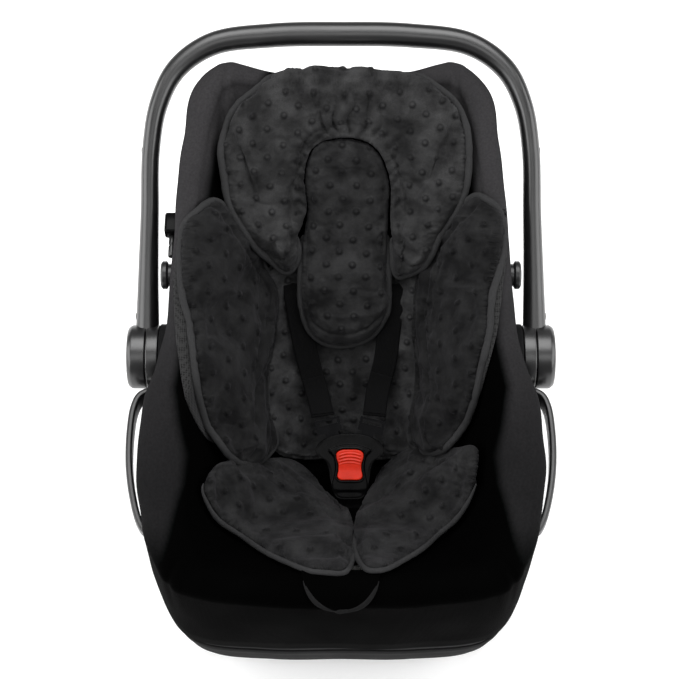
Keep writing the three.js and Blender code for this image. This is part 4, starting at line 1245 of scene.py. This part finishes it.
def on_bed(u, v, height):
    """Row-frame points over the bed, along its normal."""
    u, v, height = (np.array(x, float) for x in (u, v, height))
    w = bed_surface.at(u, v)
    return to_row(np.stack([u, v, w], -1) + bed_surface.normal(u, v, 9) * height[..., None])


def strap(name, points, width=WEB["width"], count=110):
    """Flat webbing with a slightly thicker selvedge."""
    line = evenly(np.array(points, float), count)
    t = tangents(line)
    across = np.array([1.0, 0, 0])
    side = unit(across - t * (t @ across)[:, None])
    normal = np.cross(t, side)
    shares = np.linspace(-1, 1, 17)
    edge = np.abs(shares)
    thick = WEB["thickness"] / 2 * (1 + 0.18 * np.exp(-(((edge - 0.9) / 0.07) ** 2)) - 0.5 * (edge > 0.97))
    middle = line[:, None] + side[:, None] * (shares * width / 2)[:, None]
    up = normal[:, None] * thick[:, None]
    verts = np.concatenate([middle + up, (middle - up)[:, ::-1]], 1)
    columns = verts.shape[1]
    o = mesh_object(name, verts.reshape(-1, 3), capped_faces(len(line), columns))
    tidy_normals(o, merge=False)
    length = np.linalg.norm(np.diff(line, axis=0), axis=1).sum()
    mark(o, "across", np.tile(np.concatenate([shares, shares[::-1]]), len(line)))
    mark(o, "along", np.repeat(np.linspace(0, length, len(line)), columns))
    return dress(o, "webbing")


BUCKLE = {"u": 9.5, "v": -119, "w": -42}
TONGUE = {"out": 27, "v": -80.5}
splitter = on_bed(0, 2, -40)


def shoulder_strap(name, side):
    start = splitter + np.array([side * 15, 15, 14])
    tail = [(30, 62, -41), (46, 94, -39), (50, 104, -27), (50, 106, -8), (50, 103, 3), (50, 94, 5.5)]
    front = [(56, 72, 15), (51, 35, 18), (46, 0, 22), (38, -30, 31)]
    drift = lambda v, h: BUCKLE["u"] * (0.63 + 0.37 * smooth_step(-v, 0, -TONGUE["v"])) if h > 6 else 0
    spread = lambda h: 6.5 * smooth_step(h, 12, 30) if side > 0 else 0
    route = [on_bed(side * u + drift(v, h) + spread(h), v, h) for u, v, h in tail + front]
    out = TONGUE["out"] + (1.5 if side < 0 else -1)
    end = to_row(np.array([BUCKLE["u"] + side * out, TONGUE["v"] + 17.5, BUCKLE["w"] + 0.2]))
    web = strap(f"{name}_web", [start] + route + [end])
    line = evenly(np.array([start] + route + [end]), 400)
    lap = line[-70:] + to_row(np.array([0, 0, 1.9])) - to_row(np.zeros(3))
    turned = strap(f"{name}_lap", lap[2:-4], width=24.4, count=40)
    return joined(name + "_webbing", [web, turned]), lap


for name, side in (("left", -1), ("right", 1)):
    web, lap = shoulder_strap(f"shoulder_strap_{name}", side)
    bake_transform(web)
    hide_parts(f"shoulder_strap_{name}")

crotch_below = [on_bed(8, -158, h) for h in (-38, -20, -8)]
crotch_above = [to_row(np.array([BUCKLE["u"], BUCKLE["v"] + v, BUCKLE["w"] + w]))
                for v, w in ((-37.5, -2.5), (-32.5, -0.4), (-26.5, 0), (-20.5, 0))]
adjuster_route = [(0, -40, -42), (0, -80, -46), (0, -112, -50), (0, -140, -48), (0, -165, -45),
                  (0, -185, -42), (0, -198, -34)]
for name, route in (
    ("crotch_strap", crotch_below + crotch_above),
    ("adjuster_strap", [splitter + np.array([0, -15, -13])] + [on_bed(*p) for p in adjuster_route]),
):
    stands_for(strap(name + "_webbing", route), "shell", name, "webbing")

# ---- Buckle ----
# Half outlines from the head side to the foot side: x, y.
BUCKLE_HALF = [(0, 37), (16, 35.5), (30, 29), (36, 22), (35, 15), (27, 9), (23.5, 2), (21, -12), (18, -25),
               (13, -32), (0, -33.5)]
BUTTON_HALF = [(0, 20.5), (9, 20), (14, 17), (14.5, 12), (12.5, 5), (12.5, -2), (13.5, -8), (11, -11.5),
               (0, -12)]
BUCKLE_MIDDLE = np.array([0.0, 4.0])


def polar_outline(half):
    """Reach of a symmetric outline from the buckle's middle, at even angles."""
    loop = np.array(half + [(-x, y) for x, y in half[-2:0:-1]], float)
    fine = evenly(loop, 1440, closed=True) - BUCKLE_MIDDLE
    angle = np.arctan2(fine[:, 1], fine[:, 0])
    order = np.argsort(angle)
    a = np.linspace(-math.pi, math.pi, 144, endpoint=False)
    reach = np.interp(a, angle[order], np.hypot(fine[:, 0], fine[:, 1])[order], period=2 * math.pi)
    return np.stack([np.cos(a), np.sin(a)], -1), reach


def polar_solid(name, rings):
    """A solid from rings of (points, height); its ends close onto their middles."""
    heights = [np.broadcast_to(np.asarray(z, float), len(p))[:, None] for p, z in rings]
    rows = np.array([np.concatenate([p, z], 1) for (p, _), z in zip(rings, heights)])
    verts = rows.reshape(-1, 3)
    columns = rows.shape[1]
    faces = grid_faces(len(rows), columns)
    verts = np.concatenate([verts, rows[0].mean(0)[None], rows[-1].mean(0)[None]])
    tip = len(rows) * columns
    last = tip - columns
    faces += [(j, (j + 1) % columns, tip) for j in range(columns)]
    faces += [(last + j, last + (j + 1) % columns, tip + 1) for j in range(columns)]
    return tidy_normals(mesh_object(name, verts, faces))


def place_on_buckle(o):
    set_points(o, to_row(points_of(o) + np.array([BUCKLE["u"], BUCKLE["v"], BUCKLE["w"]])))
    return o


way, body_reach = polar_outline(BUCKLE_HALF)
_, button_reach = polar_outline(BUTTON_HALF)
at_body = lambda inset: BUCKLE_MIDDLE + way * (body_reach - inset)[:, None]
at_button = lambda out: BUCKLE_MIDDLE + way * (button_reach + out)[:, None]


def buckle_front():
    """The front half: a bevelled edge, a raised bead round the button and a well that the button sits in."""
    blend_ring = lambda s: at_body(3.2) * (1 - s) + at_button(2.6) * s

    def dome(p):
        """A raised shield over the body's middle, edged by a step, and lower horns and foot."""
        x, y = np.abs(p[:, 0]), p[:, 1]
        flank = 19.5 - 4.0 * np.exp(-(((y - 2) / 16) ** 2)) + 7 * smooth_step(y, 12, 24)
        shield = smooth_step(flank - x, -0.7, 0.9) * smooth_step(26 - 0.012 * x**2 - y, -0.7, 0.9)
        shield = shield * smooth_step(y, -24.5, -22.8)
        return 5.9 + 1.7 * shield + 0.4 * np.exp(-(((y - 4) / 22) ** 2)) - 0.5 * smooth_step(x, 20, 35)

    rings = [(at_body(inset), z) for inset, z in ((2.2, 0.3), (0.3, 0.3), (0, 1.0), (0, 4.4), (0.5, 5.8))]
    rings += [(at_body(1.5), dome(at_body(1.5)) - 0.5), (at_body(3.2), dome(at_body(3.2)))]
    rings += [(blend_ring(s), dome(blend_ring(s))) for s in np.linspace(0.05, 0.95, 19)]
    rings += [(at_button(out), dome(at_button(out)) + rise)
              for out, rise in ((2.6, 0), (2.2, 0.5), (1.5, 0.7), (0.8, 0.5), (0.45, -0.2))]
    rings += [(at_button(0.4), 4), (at_button(-2), 2.2)]
    return polar_solid("buckle_front_shell", rings)


def buckle_button():
    """The press button: dished, waisted, with curved grip ridges across its top."""
    def height(p):
        x, y = p[:, 0], p[:, 1]
        arc = y + 0.018 * x**2
        ridge = np.sin((arc - 5.5) * 2 * math.pi / 3.4)
        grip = 0.55 * np.clip(ridge, -0.35, 1) * smooth_step(arc, 5.6, 7) * smooth_step(-arc, -19.5, -18.2)
        grip = grip * smooth_step(-np.abs(x), -12.2, -10.5)
        return 9.0 - 0.8 * np.exp(-(((y + 2) / 8) ** 2)) + grip

    scaled = lambda s: BUCKLE_MIDDLE + way * (button_reach * s)[:, None]
    rings = [(scaled(0.97), 2.5), (scaled(0.99), 7.2)]
    rings += [(scaled(s), height(scaled(s)) - drop) for s, drop in ((0.985, 0.9), (0.965, 0.35), (0.93, 0.05))]
    rings += [(scaled(s), height(scaled(s))) for s in np.linspace(0.9, 0.03, 34)]
    return polar_solid("buckle_button_cap", rings)


def buckle_back():
    steps = ((2.4, -0.3), (0.3, -0.3), (0, -1.0), (0, -4.4), (0.6, -6.2), (2.2, -7.4), (5, -7.8))
    return polar_solid("buckle_back_shell", [(at_body(inset), z) for inset, z in steps])


for o, body, node, look, slot in (
    (buckle_front(), "shell", "buckle_front", "gloss", "trim_plastic"),
    (buckle_back(), "shell", "buckle_back", "gloss", "trim_plastic"),
    (buckle_button(), "buckle_button", "buckle_button", "red", "button_red"),
):
    stands_for(dress(place_on_buckle(o), look), body, node, slot)

# ---- Flap over the harness adjuster ----
def flap():
    foot = Stations(np.array([0.5]))
    shares = np.linspace(0, 1, 30)
    across = np.linspace(-1, 1, 41)
    rows = []
    for s in shares:
        degrees = 172 - 158 * s
        c = foot.rolled(degrees)[0]
        a = math.radians(degrees)
        normal = unit(np.array([0, -math.cos(a), math.sin(a) + 0.2]))
        half = 38 * math.sqrt(max(0.0, 1 - (s * 0.99) ** 2.4))
        lift = 2.2 + 1.6 * (1 - across**2) * s + 0.4 * np.sin(across * 5 + s * 3)
        rows.append(c + normal * lift[:, None] + np.stack([across * half, 0 * across, 0 * across], -1))
    top = np.array(rows)
    normals = unit(np.cross(np.gradient(top, axis=1), np.gradient(top, axis=0)))
    if normals[15, 20, 2] < 0:
        normals = -normals
    sheet = dress(layer_object("flap_cloth", top + normals * 1.2, top - normals * 0.3, ring=False), "cover")
    edge = evenly(np.concatenate([top[12:, 0], top[-1, 1:-1], top[:11:-1, -1]]), 160)
    swell = np.sin(np.linspace(0, math.pi, len(edge))) ** 0.8
    edge = edge + np.array([0, 0.8, 0.6]) * swell[:, None]
    cord = dress(tube("flap_piping", edge, 0.7 + 2.9 * swell, False, 0.7), "flap_binding")
    return joined("adjuster_flap_fabric", [sheet, cord])


stands_for(flap(), "shell", "adjuster_flap", "cover_fabric")

# ---- Fittings on the shell's sides ----
GUIDE_LINE = np.array([(186, -38), (199, -40), (207, -45), (212, -57), (214.5, -85), (213, -125), (207, -160),
                       (199, -186), (193, -195), (188, -194)], float)


def belt_guide(name, side):
    line = evenly(GUIDE_LINE, 120)
    t = tangents(line)
    out = np.stack([-t[:, 1], t[:, 0]], -1)
    a = np.linspace(0, 2 * math.pi, 28, endpoint=False)
    power = lambda x: np.sign(x) * np.abs(x) ** 0.45
    share = np.linspace(0, 1, len(line))
    height = 24 * (1 - 0.45 * share**2)
    thick = np.where(share > 0.97, 7 * np.sqrt(np.maximum(0.05, 1 - ((share - 0.97) / 0.03) ** 2)), 7)
    rows = np.zeros((len(line), len(a), 3))
    rows[..., :2] = line[:, None] + out[:, None] * (thick[:, None] / 2 * power(np.cos(a)))[..., None]
    rows[..., 2] = PIVOT_Z + 2 - height[:, None] / 2 * (1 - power(np.sin(a)))
    rows[..., 0] *= side
    faces = capped_faces(len(line), len(a))
    return tidy_normals(mesh_object(f"belt_guide_{name}_moulding", rows.reshape(-1, 3), faces))


def canopy_stud(name, side):
    profile = [(0.01, 163), (11.5, 163), (11.5, 176.5), (14.5, 178), (14.5, 182.2), (11.8, 184), (9.4, 184),
               (8.8, 182.6), (5.5, 182.6), (5.0, 183.6), (0.01, 183.6)]
    stud = lathe(f"canopy_stud_{name}_moulding", rounded(profile, 0.7, 5), 64, side)
    return shift(stud, y=60, z=PIVOT_Z + 64)


def canopy_clip():
    """A hooked clip on a round rod, at the left edge of the cover."""
    bpy.ops.mesh.primitive_cube_add(size=1)
    block = bpy.context.object
    block.name = "clip_block"
    block.data.transform(Matrix.Diagonal((0.0145, 0.024, 0.0155, 1)))
    block.data.transform(Matrix.Translation((-0.1745, 0.112, (PIVOT_Z + 78) * MM)))
    edges = block.modifiers.new("edges", "BEVEL")
    edges.width, edges.segments = 0.003, 4
    apply_modifiers(block)
    a = np.linspace(0, 2 * math.pi, 20, endpoint=False)
    rings = []
    for y, radius in ((76, 0.4), (76, 2.9), (77, 3.3), (88, 3.3), (88.6, 2.7), (90.4, 2.7), (91, 3.3),
                      (101, 3.3), (101, 0.4)):
        x, z = -174 + radius * np.cos(a), PIVOT_Z + 74 + radius * np.sin(a)
        rings.append(np.stack([x, np.full(20, y), z], -1))
    rows = np.array(rings)
    rod = tidy_normals(mesh_object("clip_rod", rows.reshape(-1, 3), grid_faces(len(rows), 20, wrap_rows=True)))
    made = joined("canopy_clip_left_moulding", [dress(block, "gloss"), dress(rod, "trim")])
    return crisp(made)


stands_for(canopy_clip(), "shell", "canopy_clip_left", "trim_plastic")

for name, side in (("left", -1), ("right", 1)):
    for made, kind in ((belt_guide(name, side), "belt_guide"), (canopy_stud(name, side), "canopy_stud")):
        stands_for(dress(made, "trim"), "shell", f"{kind}_{name}", "trim_plastic")

# ---- Floor, light and camera ----
def floor_and_light():
    bpy.ops.mesh.primitive_plane_add(size=14, location=(0, 0, -0.0005))
    floor = bpy.context.object
    floor.name = "floor"
    paper = new_material("pale_floor", (0.93, 0.93, 0.93), 0.95, specular=0.0)
    glow = next(node for node in paper.node_tree.nodes if node.type == "BSDF_PRINCIPLED").inputs
    glow["Emission Color"].default_value = (1, 1, 1, 1)
    glow["Emission Strength"].default_value = 0.22
    floor.data.materials.append(paper)
    world = bpy.data.worlds.new("studio")
    world.use_nodes = True
    world.node_tree.nodes["Background"].inputs["Color"].default_value = (1, 1, 1, 1)
    world.node_tree.nodes["Background"].inputs["Strength"].default_value = 0.25
    scene = bpy.context.scene
    scene.world = world
    scene.view_settings.view_transform = "Standard"
    for name, place, aim, size, power in (
        ("overhead", (0, 0.7, 2.3), (0, 0.1, 0.2), (2.2, 1.6), 52),
        ("front_box", (0, -1.15, 2.25), (0, 0.0, 0.3), (2.0, 0.8), 10),
        ("left_strip", (-1.6, -0.35, 1.05), (0, 0.0, 0.3), (2.2, 1.5), 36),
        ("right_strip", (1.6, -0.35, 1.05), (0, 0.0, 0.3), (2.2, 1.5), 32),
    ):
        light = bpy.data.lights.new(name, "AREA")
        light.shape, light.size, light.size_y, light.energy = "RECTANGLE", *size, power
        o = bpy.data.objects.new(name, light)
        scene.collection.objects.link(o)
        o.location = place
        o.rotation_euler = (Vector(aim) - Vector(place)).to_track_quat("-Z", "Y").to_euler()


def camera():
    data = bpy.data.cameras.new("front_camera")
    data.sensor_width, data.lens = 36, 91.8
    o = bpy.data.objects.new("front_camera", data)
    bpy.context.scene.collection.objects.link(o)
    o.location = Vector(to_row(np.array([-1.5, 18, 1800])) * MM)
    o.rotation_euler = (TILT, 0, 0)
    bpy.context.scene.camera = o


floor_and_light()
camera()

# ---- The hard pieces that keep their CAD shape, with softened edges ----
CARRIED = {
    "steel": ("splitter_plate", "crotch_anchor", "adjuster_pin", "buckle_spring", "pivot_pin", "lock_spring"),
    "tongue": ("tongue",),
    "handle": ("handle_button",),
    "trim": ("adjuster_housing", "adjuster_lever", "lock_gear"),
}
for look, starts in CARRIED.items():
    for name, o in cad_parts.items():
        if name.startswith(starts) and not o.hide_render:
            dress(o, look)
            bevel = o.modifiers.new("edges", "BEVEL")
            bevel.width, bevel.segments, bevel.limit_method = 0.0004, 2, "ANGLE"
